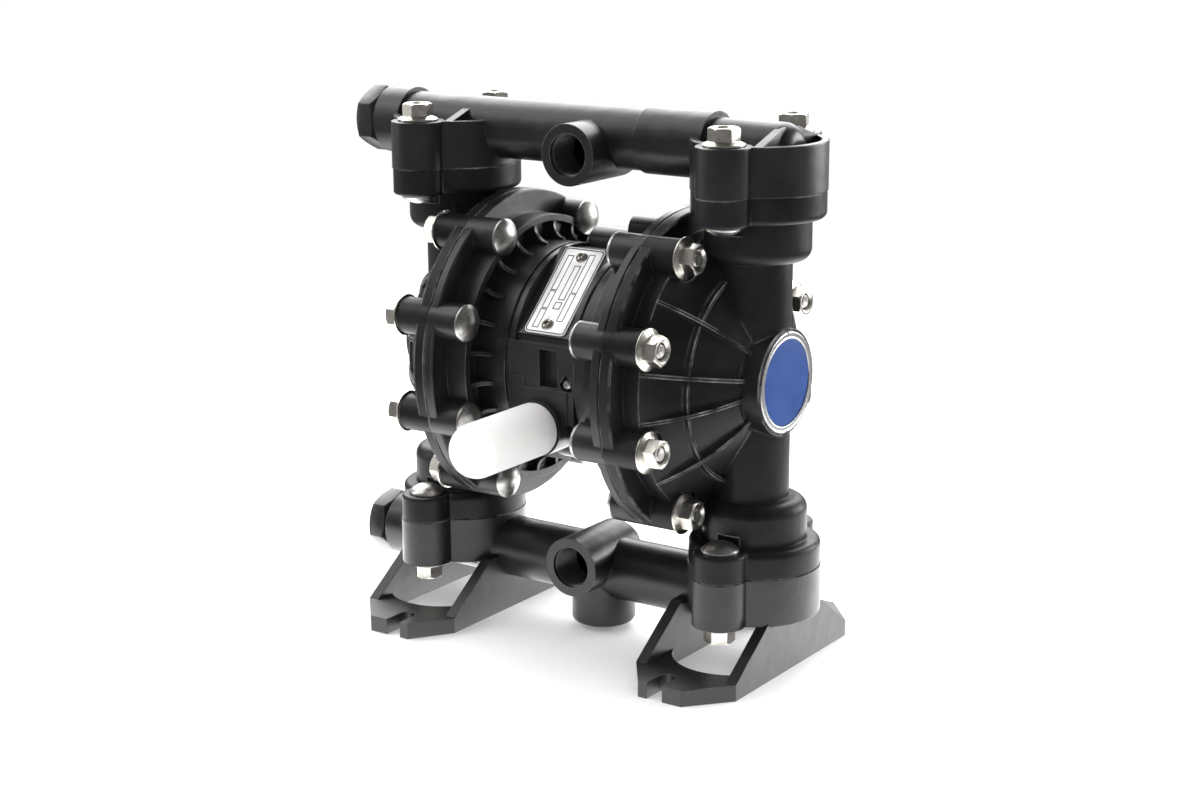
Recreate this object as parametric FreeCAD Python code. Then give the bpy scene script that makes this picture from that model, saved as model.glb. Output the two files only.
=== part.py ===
import FreeCAD, Part
import math
import os

# Air-operated double diaphragm pump, plastic body, half-inch ports, in millimetres.
# X runs along the diaphragm shaft, -Y is the side of the ports and the muffler, +Z is up.
# The pieces are modelled about the middle of the shaft and lifted onto the floor at the end.

# Main lay-out
tower_x = 87.5
joint_height = 90.0
joint_above_floor = 50.0
axis_height = joint_height + joint_above_floor
cover_joint_x = 50.0
centre_half_width = 19.0
gasket_thick = 1.0

# Clearances
sliding_gap = 0.03
seat_gap = 0.05
soft_gap = 0.1
ball_seat_gap = 0.1
hole_gap = 0.5

# Threaded fasteners of the covers and manifolds
bolt_shank_r = 3.9
bolt_head_r = 9.0
bolt_head_high = 5.0
bolt_head_edge = 1.2
nut_flange_r = 10.0
nut_flange_thick = 1.8
nut_across_flats = 13.0
nut_high = 8.5
nut_end_cover = 0.8
nut_chamfer = 2.0
nut_end_step = 0.6
nut_end_round = 0.35
cover_nut_turn = 17.0
manifold_nut_turn = (15.0, 22.0)

# Small screws
small_screw_r = 2.0
small_head_r = 4.0
small_head_high = 2.6
small_head_crown = (0.3, 0.9, 0.55)
plate_head_high = 1.6
plate_head_rim = 1.0
plate_head_crown = (0.8, 0.7, 0.35)
small_screw_grip = 9.0
thread_end_gap = 0.5

# Shaft, bearings and packings
shaft_r = 8.0
shaft_stud_r = 5.0
shaft_stud_long = 12.0
bearing_wall = 4.0
bearing_long = 12.0
packing_long = 4.0
packing_lip = 1.0

# Diaphragm and its plates; the stroke is this much each way from the middle
half_stroke = 5.0
diaphragm_thick = 3.0
diaphragm_bead_r = (57.0, 61.5)
diaphragm_bead_half = 2.0
diaphragm_bulge = 4.5
air_plate_r = 34.0
air_plate_thick = 6.0
fluid_plate_r = 32.0
fluid_plate_thick = 6.5
fluid_plate_edge = 2.5
end_of_stroke_gap = 1.2

# Clamp rims and bolt bosses of the covers
rim_r = 78.0
fluid_rim_thick = 6.5
air_rim_thick = 4.7
rim_edge = 0.6
cover_bolt_circle_r = 70.0
cover_bolt_angles = (30.0, 70.0, 110.0, 150.0)
boss_r = 9.0
fluid_boss_end_x = 69.0
air_boss_end_x = 33.6

# Air cover
hub_r = 54.0
hub_wall = 4.5
core_land_r = 34.0
air_skirt_r = 66.5
air_skirt_wall = 3.5
air_skirt_end_x = 34.0
pocket_floor_x = 38.0
pocket_rib_count = 24
pocket_rib_thick = 2.0
pocket_rib_end_x = 27.5
air_floor_thick = 5.0
air_chamber_flat_r = 37.0

# Fluid cover
dome_r = 67.0
dome_start_x = 65.0
dome_mid = (79.0, 50.0)
dome_end = (94.0, 27.0)
cover_wall = 5.0
dome_rib_thick = 1.8
dome_rib_high = 2.2
dome_rib_angles = (10.0, 40.0, -10.0, -40.0)
dome_ring_rib_r = 50.0
pipe_x = 85.5
pipe_r = 18.0
pipe_wall = 5.0
neck_r = 25.0
neck_high = 33.0
neck_low = joint_height - neck_high
neck_edge = 6.0
badge_boss_r = 25.5
badge_boss_x = 103.5
badge_r = 24.0
badge_thick = 1.8
badge_recess = 1.0
badge_border = 3.2
badge_border_high = 0.4

# Flanges between covers and manifolds
flange_r = 32.0
flange_step = 0.4
flange_lug_r = 13.2
flange_lug_y = 31.5
cover_flange_thick = 13.0
cover_flange_edge = 3.0
manifold_flange_thick = 23.0
manifold_rim_wall = 3.4
manifold_pocket_deep = 11.0
manifold_rib_thick = 4.5
manifold_rib_x = 14.5
manifold_rib_drop = 0.5

# Check valves
ball_r = 9.5
ball_lift = 4.5
ball_guide_gap = 0.5
ball_stop_r = 6.0
cage_r = 13.0
cage_rib_thick = 2.5
cage_rib_angles = (45.0, 135.0, 225.0, 315.0)
seat_r = 16.0
seat_high = 7.0
seat_hole_r = 6.5
o_ring_thick = 2.8

# Manifold tubes
tube_rise = 18.0
tube_axis_z = joint_height + tube_rise
outlet_tube_r = 14.85
inlet_tube_r = 15.5
thin_tube_r = 13.2
tube_bore_r = 10.5
tube_nose_x = 108.0
tube_nose_round = 0.6
collar_from_x = 28.0
collar_to_x = 65.0
collar_r = 16.0
end_collar_r = 16.8
end_collar_x = 129.0
end_collar_in_x = 113.0

# Ports
port_boss_r = 14.85
port_bore_r = 10.25
port_drop = 6.0
port_face_y = 29.0
port_back_y = 12.0
stub_r = 16.0
stub_floor_gap = 3.0
stub_edge = 3.0

# Hexagon end plugs
plug_across_flats = 29.0
plug_hex_long = 11.0
plug_neck_r = 14.5
plug_neck_long = 2.0
plug_thread_long = 14.0
plug_edge = 1.8
plug_corner_step = 0.6

# Feet
foot_in_x = 54.5
foot_out_x = 109.7
foot_wall = 5.6
foot_wall_lap = 3.0
foot_plate_thick = 8.0
foot_straight_y = 53.0
foot_tip_y = 73.0
foot_tip_half = 9.0
foot_tip_out = 14.4
foot_window_shift = 4.5
foot_slot_x = 77.7
foot_slot_w = 8.4
foot_slot_long = 15.0
foot_window_r = 28.0
foot_window_y = 19.5
foot_wall_slope = 0.705

# Centre housing
housing_r = 54.0
housing_waist_step = 2.0
housing_waist_r = housing_r - housing_waist_step
housing_flange_thick = 3.5
housing_wall = 9.0
housing_web_half = 3.0
exhaust_z = -25.0
exhaust_boss_r = 13.5
exhaust_stand = 2.0
exhaust_face_y = housing_r + exhaust_stand
exhaust_bore_r = 8.3
exhaust_bore_deep = 16.0
valve_block_half = 17.0
valve_stand = 6.0
valve_face_y = housing_r + valve_stand
valve_block_z = (-32.0, 46.0)
valve_chamber_z = (-12.0, 28.0)
valve_chamber_deep = 18.0
chest_r = 11.0
chest_at = (22.0, 49.0)
chest_lug_r = 7.0
chest_lug_z = 60.0
chest_lug_from_x = 5.0
front_face_step = 1.5
front_face_y = housing_r - front_face_step
front_face_z = (-22.0, 15.5)
front_recess_x = (-0.5, 10.0)
front_recess_z = (-5.0, 13.0)
front_recess_deep = 5.0
front_step_z = (-6.0, -1.0)
front_step_x = -9.0
front_step_high = 0.6

# Main air valve
valve_screw_x = 12.0
valve_screw_z = (-25.0, 39.0)
valve_cover_thick = 7.0
valve_gasket_thick = 1.0
valve_plate_thick = 2.5
carriage_half = 8.0
carriage_high = 20.0
carriage_deep = 11.0
carriage_travel = 4.0
carriage_stop_gap = 0.25
carriage_wall = 3.0
valve_port_x = (-7.0, 0.0, 7.0)
valve_port_w = 3.0
valve_port_high = 12.0
air_inlet_boss_r = 10.5
air_inlet_bore_r = 5.7
air_inlet_long = 12.0
air_inlet_z = 8.0

# Pilot pins
pilot_pin_r = 2.5
pilot_pin_circle_r = 27.0
pilot_pin_angle = 60.0
pilot_pin_long = 24.0
pilot_ratio = 0.35
pilot_end_gap = 0.25

# Air-cover screws
air_screw_circle_r = 30.0
air_screw_angles = (0.0, 120.0, 240.0)
air_screw_head_r = 4.0
air_screw_head_high = 0.8
air_screw_long = 14.0

# Rating plate
plate_wide = 23.3
plate_long = 50.4
plate_thick = 1.0
plate_corner = 2.5
plate_pad_step = 6.0
plate_offset = housing_r - plate_pad_step
plate_shift = 3.2
plate_tilt = 43.8
plate_pad_margin = 0.8
plate_pad_deep = 20.0
plate_pad_cut_high = 20.0
plate_screw_off = 20.0

# Ground screw
ground_screw_at = (14.3, -2.9)
ground_screw_r = 1.5
ground_screw_long = 8.0
ground_head_r = 2.5
ground_head_high = 1.8
ground_recess_deep = 2.6
ground_recess_x = (11.2, 15.0, 18.0)
ground_recess_z = (-5.9, -2.4, 3.0)

# Muffler
muffler_r = 13.0
muffler_long = 58.0
muffler_end = 11.0
muffler_shoulder = 3.0
muffler_thread_long = 12.0


def vec(point):
    """Vector from three numbers."""
    return FreeCAD.Vector(*point)


def rod(radius, start, end):
    """Cylinder between two points on its axis."""
    a = vec(start)
    b = vec(end)
    return Part.makeCylinder(radius, (b - a).Length, a, b - a)


def block(x, y, z):
    """Box from a low and a high value along each axis."""
    low = FreeCAD.Vector(x[0], y[0], z[0])
    return Part.makeBox(x[1] - x[0], y[1] - y[0], z[1] - z[0], low)


def face(points, place):
    """Flat face. A pair is a corner; four numbers are an arc through the first pair to the second."""
    edges = []
    here = place(*points[0][-2:])
    for step in list(points[1:]) + [points[0][-2:]]:
        there = place(*step[-2:])
        if len(step) == 4:
            edges.append(Part.Arc(here, place(*step[:2]), there).toShape())
        elif (there - here).Length > 1e-6:
            edges.append(Part.LineSegment(here, there).toShape())
        here = there
    return Part.Face(Part.Wire(edges))


AXES = {
    "x": (FreeCAD.Vector(1, 0, 0), lambda along, radius: FreeCAD.Vector(along, 0, radius)),
    "y": (FreeCAD.Vector(0, 1, 0), lambda along, radius: FreeCAD.Vector(radius, along, 0)),
    "z": (FreeCAD.Vector(0, 0, 1), lambda along, radius: FreeCAD.Vector(radius, 0, along)),
}


def turned(points, axis, centre=(0, 0, 0)):
    """Solid turned from a profile of (distance along the axis, radius) steps."""
    direction, place = AXES[axis]
    solid = face(points, place).revolve(FreeCAD.Vector(0, 0, 0), direction, 360)
    solid.translate(vec(centre))
    return solid


def prism(points, place, depth):
    """Solid pushed out of a flat outline."""
    return face(points, place).extrude(vec(depth))


def fused(shapes):
    """One solid from several that meet."""
    return shapes[0].multiFuse(shapes[1:]).removeSplitter()


def cut(shape, tools):
    """Shape with all the tools taken out of it."""
    return shape.cut(tools)


def cap(along, radius, way, high):
    """Arc step of a ball cap, from an edge of this radius to its crown on the axis."""
    ball = (radius ** 2 + high ** 2) / (2 * high)
    half_angle = math.asin(radius / ball) / 2
    middle = along + way * (high - ball * (1 - math.cos(half_angle)))
    return (middle, ball * math.sin(half_angle), along + way * high, 0)


def flipped(shape, normal):
    """Mirror image across the plane through the middle with this normal."""
    return shape.mirror(FreeCAD.Vector(0, 0, 0), vec(normal))


def turned_about_x(shape, degrees):
    """Copy turned about the shaft axis."""
    copy = shape.copy()
    copy.rotate(FreeCAD.Vector(0, 0, 0), FreeCAD.Vector(1, 0, 0), degrees)
    return copy


def hexagon(across_flats, start, length, axis, turn=0.0):
    """Hexagonal prism whose axis starts at a point."""
    radius = across_flats / 2 / math.cos(math.pi / 6)
    corners = []
    for k in range(6):
        angle = math.radians(60 * k + turn)
        corners.append((radius * math.cos(angle), radius * math.sin(angle)))
    planes = {
        "x": lambda a, b: FreeCAD.Vector(0, a, b),
        "z": lambda a, b: FreeCAD.Vector(a, b, 0),
    }
    solid = prism(corners, planes[axis], AXES[axis][0] * length)
    solid.translate(vec(start))
    return solid


def cover_bolt_places():
    """(y, z) of the eight bolts round a cover, counted from the top on both sides."""
    places = []
    for side in (-1, 1):
        for angle in cover_bolt_angles:
            a = math.radians(angle)
            y = side * cover_bolt_circle_r * math.sin(a)
            places.append((y, cover_bolt_circle_r * math.cos(a)))
    return places


def tower_bolt_places():
    """(x, y) of the four bolts of a manifold."""
    return [(x, y) for x in (-tower_x, tower_x) for y in (-flange_lug_y, flange_lug_y)]


def puck(x, y, radius, seat, free, edge):
    """Upright disc from its seat face to its free face, whose edge is rounded."""
    way = 1 if free > seat else -1
    bend = edge * (1 - math.cos(math.pi / 4))
    profile = [
        (seat, 0),
        (seat, radius),
        (free - way * edge, radius),
        (free - way * bend, radius - bend, free, radius - edge),
        (free, 0),
    ]
    return turned(profile, "z", (x, y, 0))


def flange(level, free, radius, lug_r, edge):
    """Round flange with a bolt lug at the front and at the back, from its joint to its free face."""
    pieces = [puck(tower_x, 0, radius, level, free, edge)]
    for y in (-flange_lug_y, flange_lug_y):
        pieces.append(puck(tower_x, y, lug_r, level, free, edge / 2))
    return fused(pieces)


def tower_bolt_holes(low, high):
    """Clearance holes of the two bolts of the right tower."""
    holes = []
    for y in (-flange_lug_y, flange_lug_y):
        holes.append(rod(bolt_shank_r + hole_gap, (tower_x, y, low), (tower_x, y, high)))
    return holes


def ball_rest_height():
    """Height of a resting ball's centre above the top of its seat."""
    contact_r = ball_r * math.sqrt(0.5)
    cone_depth = ball_r - contact_r
    return contact_r - cone_depth + ball_seat_gap


def cage_ribs(seat_top, top):
    """Four ribs that guide a check ball and stop its lift."""
    contact = math.sqrt(ball_r ** 2 - ball_stop_r ** 2)
    stop_z = seat_top + ball_rest_height() + ball_lift + contact + ball_seat_gap
    guide_r = ball_r + ball_guide_gap
    profile = [
        (guide_r, seat_top + 0.5),
        (cage_r + 1, seat_top + 0.5),
        (cage_r + 1, top),
        (ball_stop_r, top),
        (ball_stop_r, stop_z),
        (guide_r, stop_z - (guide_r - ball_stop_r) / 2),
    ]
    rib = prism(profile, lambda r, z: FreeCAD.Vector(r, -cage_rib_thick / 2, z), (0, cage_rib_thick, 0))
    ribs = []
    for angle in cage_rib_angles:
        copy = rib.copy()
        copy.rotate(FreeCAD.Vector(0, 0, 0), FreeCAD.Vector(0, 0, 1), angle)
        copy.translate(FreeCAD.Vector(tower_x, 0, 0))
        ribs.append(copy)
    return ribs


def seat_pocket(joint, way):
    """Counterbore for a valve seat, sunk from the joint face."""
    return rod(seat_r + seat_gap, (tower_x, 0, joint), (tower_x, 0, joint + way * seat_high))


# Air cover, right side

air_floor_x = cover_joint_x - diaphragm_thick / 2 - air_plate_thick - half_stroke - end_of_stroke_gap
hub_start_x = centre_half_width + gasket_thick


def air_cover():
    """Dish behind the diaphragm: hub, skirt with gusset ribs, clamp rim and eight bosses."""
    bead_in, bead_out = diaphragm_bead_r
    joint = cover_joint_x
    rim_in = joint - air_rim_thick
    skirt_in = air_skirt_r - air_skirt_wall
    shell = turned([
        (hub_start_x, 0),
        (hub_start_x, hub_r),
        (pocket_floor_x, hub_r),
        (pocket_floor_x, skirt_in),
        (air_skirt_end_x, skirt_in),
        (air_skirt_end_x, air_skirt_r),
        (rim_in, air_skirt_r),
        (rim_in, rim_r - rim_edge),
        (rim_in + rim_edge, rim_r),
        (joint - rim_edge, rim_r),
        (joint, rim_r - rim_edge),
        (joint, 0),
    ], "x")
    rib = prism([
        (pocket_floor_x + 1, hub_r - 1),
        (pocket_rib_end_x, hub_r - 1),
        (pocket_rib_end_x, hub_r + 1),
        (air_skirt_end_x - 1.3, hub_r + 4, air_skirt_end_x, skirt_in + 1),
        (pocket_floor_x + 1, skirt_in + 1),
    ], lambda x, r: FreeCAD.Vector(x, -pocket_rib_thick / 2, r), (0, pocket_rib_thick, 0))
    pieces = [shell]
    for k in range(pocket_rib_count):
        pieces.append(turned_about_x(rib, 360.0 * (k + 0.5) / pocket_rib_count))
    for y, z in cover_bolt_places():
        pieces.append(rod(boss_r, (air_boss_end_x, y, z), (joint, y, z)))
    body = fused(pieces)
    chamber = turned([
        (air_floor_x, 0),
        (air_floor_x, air_chamber_flat_r),
        (joint - 8, bead_in - 7),
        (joint - 5, bead_in - 1),
        (joint - 1, bead_in),
        (joint + 1, bead_in),
        (joint + 1, 0),
    ], "x")
    groove = turned([
        (joint - diaphragm_bead_half, bead_in - soft_gap),
        (joint - diaphragm_bead_half, bead_out + soft_gap),
        (joint + 1, bead_out + soft_gap),
        (joint + 1, bead_in - soft_gap),
    ], "x")
    back = turned([
        (hub_start_x - 1, core_land_r),
        (hub_start_x - 1, hub_r - hub_wall),
        (air_floor_x - air_floor_thick, hub_r - hub_wall),
        (air_floor_x - air_floor_thick, core_land_r),
    ], "x")
    shaft_hole = rod(shaft_r + hole_gap, (hub_start_x - 1, 0, 0), (joint, 0, 0))
    tools = [chamber, groove, back, shaft_hole]
    for y, z in cover_bolt_places():
        tools.append(rod(bolt_shank_r + hole_gap, (air_boss_end_x - 1, y, z), (joint + 1, y, z)))
    y, z = pilot_pin_place()
    tools.append(rod(pilot_pin_r + sliding_gap, (hub_start_x - 1, y, z), (joint, y, z)))
    for y, z in air_screw_places():
        tools.append(rod(small_screw_r + hole_gap / 2, (hub_start_x - 1, y, z), (joint, y, z)))
    return cut(body, tools)


def pilot_pin_place():
    """(y, z) of the pilot pin axis."""
    a = math.radians(pilot_pin_angle)
    return (pilot_pin_circle_r * math.sin(a), pilot_pin_circle_r * math.cos(a))


def air_screw_places():
    """(y, z) of the three screws that hold an air cover on the centre housing."""
    places = []
    for angle in air_screw_angles:
        a = math.radians(angle)
        places.append((air_screw_circle_r * math.sin(a), air_screw_circle_r * math.cos(a)))
    return places


# Fluid cover, right side

def dome_rib(angle):
    """Thin radial rib that follows the dome from the badge boss to the step."""
    up = dome_rib_high
    rib = prism([
        (dome_start_x - 2, dome_r - 4),
        (dome_start_x, dome_r + 0.5),
        (dome_mid[0] + up, dome_mid[1] + up, dome_end[0] + up, dome_end[1] - 3),
        (dome_end[0] - 4, dome_end[1] - 6),
    ], lambda x, r: FreeCAD.Vector(x, -dome_rib_thick / 2, r), (0, dome_rib_thick, 0))
    return turned_about_x(rib, angle)


def fluid_cover():
    """Pumping chamber cover: ribbed dome, clamp rim, upright pipe, necks, flanges and badge boss."""
    bead_in, bead_out = diaphragm_bead_r
    joint = cover_joint_x
    rim_out = joint + fluid_rim_thick
    shell = turned([
        (joint, 0),
        (joint, rim_r - rim_edge),
        (joint + rim_edge, rim_r),
        (rim_out - rim_edge, rim_r),
        (rim_out, rim_r - rim_edge),
        (rim_out, dome_r),
        (dome_start_x, dome_r),
        (dome_mid[0], dome_mid[1], dome_end[0], dome_end[1]),
        (dome_end[0], 0),
    ], "x")
    pieces = [shell]
    pieces.append(rod(pipe_r, (pipe_x, 0, -joint_height + 5), (pipe_x, 0, joint_height - 5)))
    for way in (-1, 1):
        low = way * neck_low
        top = way * (joint_height - cover_flange_thick + 2)
        pieces.append(puck(tower_x, 0, neck_r, top, low, neck_edge))
        face_level = way * joint_height
        free = way * (joint_height - cover_flange_thick)
        pieces.append(flange(face_level, free, flange_r - flange_step, flange_lug_r - flange_step,
                             cover_flange_edge))
    for y, z in cover_bolt_places():
        pieces.append(rod(boss_r, (joint, y, z), (fluid_boss_end_x, y, z)))
    for side in (90, -90):
        for angle in dome_rib_angles:
            pieces.append(dome_rib(side + angle))
    ring_in = dome_ring_rib_r - dome_rib_thick / 2
    ring_out = dome_ring_rib_r + dome_rib_thick / 2
    pieces.append(turned([
        (dome_mid[0] - 3, ring_in),
        (dome_mid[0] - 3, ring_out),
        (dome_mid[0] + dome_rib_high, ring_out),
        (dome_mid[0] + dome_rib_high, ring_in),
    ], "x"))
    badge_boss = rod(badge_boss_r, (pipe_x, 0, 0), (badge_boss_x, 0, 0))
    pieces.append(badge_boss)
    body = fused(pieces)
    inner_mid = (dome_mid[0] - cover_wall, dome_mid[1] - cover_wall)
    chamber = turned([
        (joint - 1, 0),
        (joint - 1, bead_in),
        (joint + 10, bead_in),
        (inner_mid[0], inner_mid[1], dome_end[0] - cover_wall - 3, dome_end[1] - cover_wall),
        (dome_end[0] - cover_wall - 3, 0),
    ], "x")
    groove = turned([
        (joint - 1, bead_in - soft_gap),
        (joint - 1, bead_out + soft_gap),
        (joint + diaphragm_bead_half, bead_out + soft_gap),
        (joint + diaphragm_bead_half, bead_in - soft_gap),
    ], "x")
    bore_r = pipe_r - pipe_wall
    seat_floor = joint_height - seat_high
    pipe_bore = rod(bore_r, (pipe_x, 0, -neck_low), (pipe_x, 0, seat_floor))
    cage_bore = rod(cage_r, (tower_x, 0, -joint_height - 1), (tower_x, 0, -neck_low))
    top_bore = rod(cage_r, (tower_x, 0, neck_low), (tower_x, 0, seat_floor))
    recess = rod(badge_r + seat_gap, (badge_boss_x - badge_recess, 0, 0), (badge_boss_x + 1, 0, 0))
    waterway = cut(fused([pipe_bore, cage_bore]), cage_ribs(-joint_height, -neck_low - 4))
    tools = [chamber, groove, waterway, top_bore, recess]
    tools.append(seat_pocket(joint_height, -1))
    tools += tower_bolt_holes(joint_height - cover_flange_thick - 1, joint_height + 1)
    tools += tower_bolt_holes(-joint_height - 1, -joint_height + cover_flange_thick + 1)
    for y, z in cover_bolt_places():
        tools.append(rod(bolt_shank_r + hole_gap, (joint - 1, y, z), (fluid_boss_end_x + 1, y, z)))
        nut_seat = (fluid_boss_end_x, y, z)
        tools.append(rod(nut_flange_r + hole_gap, nut_seat, (fluid_boss_end_x + nut_high, y, z)))
    seat = joint_height - cover_flange_thick
    for y in (-flange_lug_y, flange_lug_y):
        for way in (-1, 1):
            low = (tower_x, y, way * (seat - bolt_head_high - hole_gap))
            tools.append(rod(bolt_head_r + hole_gap, low, (tower_x, y, way * seat)))
    return cut(body, tools)


# Manifolds

def manifold_tube(tube_r, with_collar):
    """Outside of the cross tube: threaded end collar, tube, moulded collar and closed nose."""
    nose_r = thin_tube_r * tube_nose_round
    bend = nose_r * (1 - math.cos(math.pi / 4))
    middle_r = collar_r if with_collar else tube_r
    tube = turned([
        (-end_collar_x, 0),
        (-end_collar_x, end_collar_r - rim_edge),
        (-end_collar_x + rim_edge, end_collar_r),
        (-end_collar_in_x, end_collar_r),
        (-end_collar_in_x, tube_r),
        (collar_from_x, tube_r),
        (collar_from_x, middle_r),
        (collar_to_x, middle_r),
        (collar_to_x, thin_tube_r),
        (tube_nose_x - nose_r, thin_tube_r),
        (tube_nose_x - bend, thin_tube_r - bend, tube_nose_x, thin_tube_r - nose_r),
        (tube_nose_x, 0),
    ], "x", (0, 0, tube_axis_z))
    return tube


def manifold_outside(tube_r, with_collar):
    """Solid outside that both manifolds share, drawn as the upper one."""
    top = joint_height + manifold_flange_thick
    floor = top - manifold_pocket_deep
    elbow_r = cage_r + manifold_rim_wall
    base = rod(flange_r, (tower_x, 0, joint_height), (tower_x, 0, floor))
    rim = puck(tower_x, 0, flange_r, floor, top, rim_edge).cut(
        rod(flange_r - manifold_rim_wall, (tower_x, 0, floor), (tower_x, 0, top)))
    pieces = [base, rim, rod(elbow_r, (tower_x, 0, floor), (tower_x, 0, tube_axis_z))]
    for y in (-flange_lug_y, flange_lug_y):
        pieces.append(puck(tower_x, y, flange_lug_r, joint_height, top, rim_edge))
    mirrored_pieces = [flipped(piece, (1, 0, 0)) for piece in pieces]
    for centre in (-tower_x, tower_x):
        for side in (-1, 1):
            pieces.append(gusset(centre, side, top))
    port_z = tube_axis_z - port_drop
    pieces.append(rod(port_boss_r, (0, -port_face_y, port_z), (0, port_back_y, port_z)))
    pieces.append(Part.makeSphere(port_boss_r, FreeCAD.Vector(0, port_back_y - 4, port_z)))
    return fused([manifold_tube(tube_r, with_collar)] + pieces + mirrored_pieces)


def gusset(centre, side, top):
    """Slanting rib from a bolt lug up to the cross tube."""
    x = centre + manifold_rib_x - manifold_rib_thick / 2
    z_high = tube_axis_z + thin_tube_r - 1.5
    outer_x = manifold_rib_x + manifold_rib_thick / 2
    foot_y = math.sqrt(flange_r ** 2 - outer_x ** 2) - rim_edge
    return prism([
        (side * foot_y, top - manifold_pocket_deep),
        (side * foot_y, top - manifold_rib_drop),
        (side * 5.0, z_high),
        (side * 5.0, top - manifold_pocket_deep),
    ], lambda y, z: FreeCAD.Vector(x, y, z), (manifold_rib_thick, 0, 0))


def manifold_bores():
    """Hollows that both manifolds share, drawn as the upper one."""
    end = tube_nose_x - thin_tube_r
    port_z = tube_axis_z - port_drop
    tools = [rod(tube_bore_r, (-end_collar_x - 1, 0, tube_axis_z), (end, 0, tube_axis_z))]
    tools.append(rod(port_bore_r, (0, -port_face_y - 1, port_z), (0, 0, port_z)))
    for x in (-tower_x, tower_x):
        for y in (-flange_lug_y, flange_lug_y):
            top = joint_height + manifold_flange_thick + 1
            tools.append(rod(bolt_shank_r + hole_gap, (x, y, joint_height - 1), (x, y, top)))
    return tools


def outlet_manifold():
    """Upper manifold, whose cages hold the outlet check balls."""
    outside = manifold_outside(outlet_tube_r, True)
    cages = [rod(cage_r, (x, 0, joint_height - 1), (x, 0, tube_axis_z)) for x in (-tower_x, tower_x)]
    ribs = cage_ribs(joint_height, tube_axis_z + tube_bore_r + 2)
    ribs += [flipped(rib, (1, 0, 0)) for rib in ribs]
    bores = manifold_bores()
    hollow = cut(fused(bores[:1] + cages), ribs)
    return cut(outside, [hollow] + bores[1:])


def foot():
    """Right foot: two slotted pads joined by two sloping side walls, up to the flange above."""
    floor = -axis_height
    wall_top = -joint_height - manifold_flange_thick + foot_wall_lap
    tip_in = foot_slot_x - foot_tip_half
    tip_out = foot_slot_x + foot_tip_out
    outline = [
        (tip_in, foot_tip_y),
        (tip_out, foot_tip_y),
        (foot_out_x, foot_straight_y),
        (foot_out_x, -foot_straight_y),
        (tip_out, -foot_tip_y),
        (tip_in, -foot_tip_y),
        (foot_in_x, -foot_straight_y),
        (foot_in_x, foot_straight_y),
    ]
    plate = prism(outline, lambda x, y: FreeCAD.Vector(x, y, floor), (0, 0, foot_plate_thick))
    window = []
    for y in (-foot_window_y, foot_window_y):
        at = foot_middle_x()
        window.append(rod(foot_window_r, (at, y, floor - 1), (at, y, floor + foot_plate_thick + 1)))
    between = (foot_in_x + foot_wall, foot_out_x - foot_wall)
    window.append(block((foot_in_x, foot_out_x), (-foot_window_y, foot_window_y),
                        (floor - 1, floor + foot_plate_thick + 1)))
    opening = fused(window).common(block(between, (-foot_tip_y, foot_tip_y), (floor - 1, 0)))
    tools = [opening]
    for side in (-1, 1):
        inner = foot_tip_y - foot_slot_long
        slot_low = floor - 1
        slot_top = floor + foot_plate_thick + 1
        half = foot_slot_w / 2
        centre_y = side * (inner + half)
        tools.append(rod(half, (foot_slot_x, centre_y, slot_low), (foot_slot_x, centre_y, slot_top)))
        ends = sorted((centre_y, side * (foot_tip_y + 1)))
        tools.append(block((foot_slot_x - half, foot_slot_x + half), ends, (slot_low, slot_top)))
    pads = cut(plate, tools)
    plate_top = floor + foot_plate_thick
    reach = (wall_top - plate_top) / foot_wall_slope
    side_face = [
        (-foot_straight_y, floor),
        (-foot_straight_y, plate_top),
        (-foot_straight_y + reach, wall_top),
        (foot_straight_y - reach, wall_top),
        (foot_straight_y, plate_top),
        (foot_straight_y, floor),
    ]
    walls = []
    for x in (foot_in_x, foot_out_x - foot_wall):
        walls.append(prism(side_face, lambda y, z, x=x: FreeCAD.Vector(x, y, z), (foot_wall, 0, 0)))
    return fused([pads] + walls)


def foot_middle_x():
    """Middle of a foot between its two side walls."""
    return (foot_in_x + foot_out_x) / 2 + foot_window_shift


def inlet_outside():
    """Solid outside of the lower manifold, to which the feet are joined."""
    return flipped(manifold_outside(inlet_tube_r, False), (0, 0, 1))


def inlet_feet():
    """Both feet, whose walls run up against the flanges and the cross tube."""
    outside = inlet_outside()
    right = foot()
    left = flipped(right, (1, 0, 0))
    return {"inlet_foot_right": cut(right, [outside]), "inlet_foot_left": cut(left, [outside])}


def stub_bore():
    """Hollow of the port below, from under its mouth up to the bore of the cross tube."""
    return rod(port_bore_r, (0, 0, -axis_height), (0, 0, -tube_axis_z))


def inlet_stub():
    """Port below the lower cross tube, which sits on the tube like a saddle."""
    stub = puck(0, 0, stub_r, -tube_axis_z, -axis_height + stub_floor_gap, stub_edge)
    return cut(stub, [inlet_outside(), stub_bore()])


def inlet_manifold():
    """Lower manifold, whose flanges hold the inlet valve seats and stand on the feet."""
    body = inlet_outside()
    tools = [flipped(tool, (0, 0, 1)) for tool in manifold_bores()]
    tools.append(stub_bore())
    pockets = [seat_pocket(-joint_height, -1), rod(seat_r - 3.0, (tower_x, 0, -joint_height),
                                                   (tower_x, 0, -tube_axis_z))]
    tools += pockets + [flipped(tool, (1, 0, 0)) for tool in pockets]
    return cut(body, tools)


# Check valve pieces

def valve_seat(top):
    """Ring with a conical top, which lies flush with the joint."""
    low = top - seat_high
    groove = o_ring_thick + soft_gap
    cone = ball_r - seat_hole_r
    return turned([
        (low, seat_hole_r),
        (low, seat_r - groove),
        (low + groove, seat_r - groove),
        (low + groove, seat_r),
        (top, seat_r),
        (top, ball_r),
        (top - cone, seat_hole_r),
    ], "z", (tower_x, 0, 0))


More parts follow.
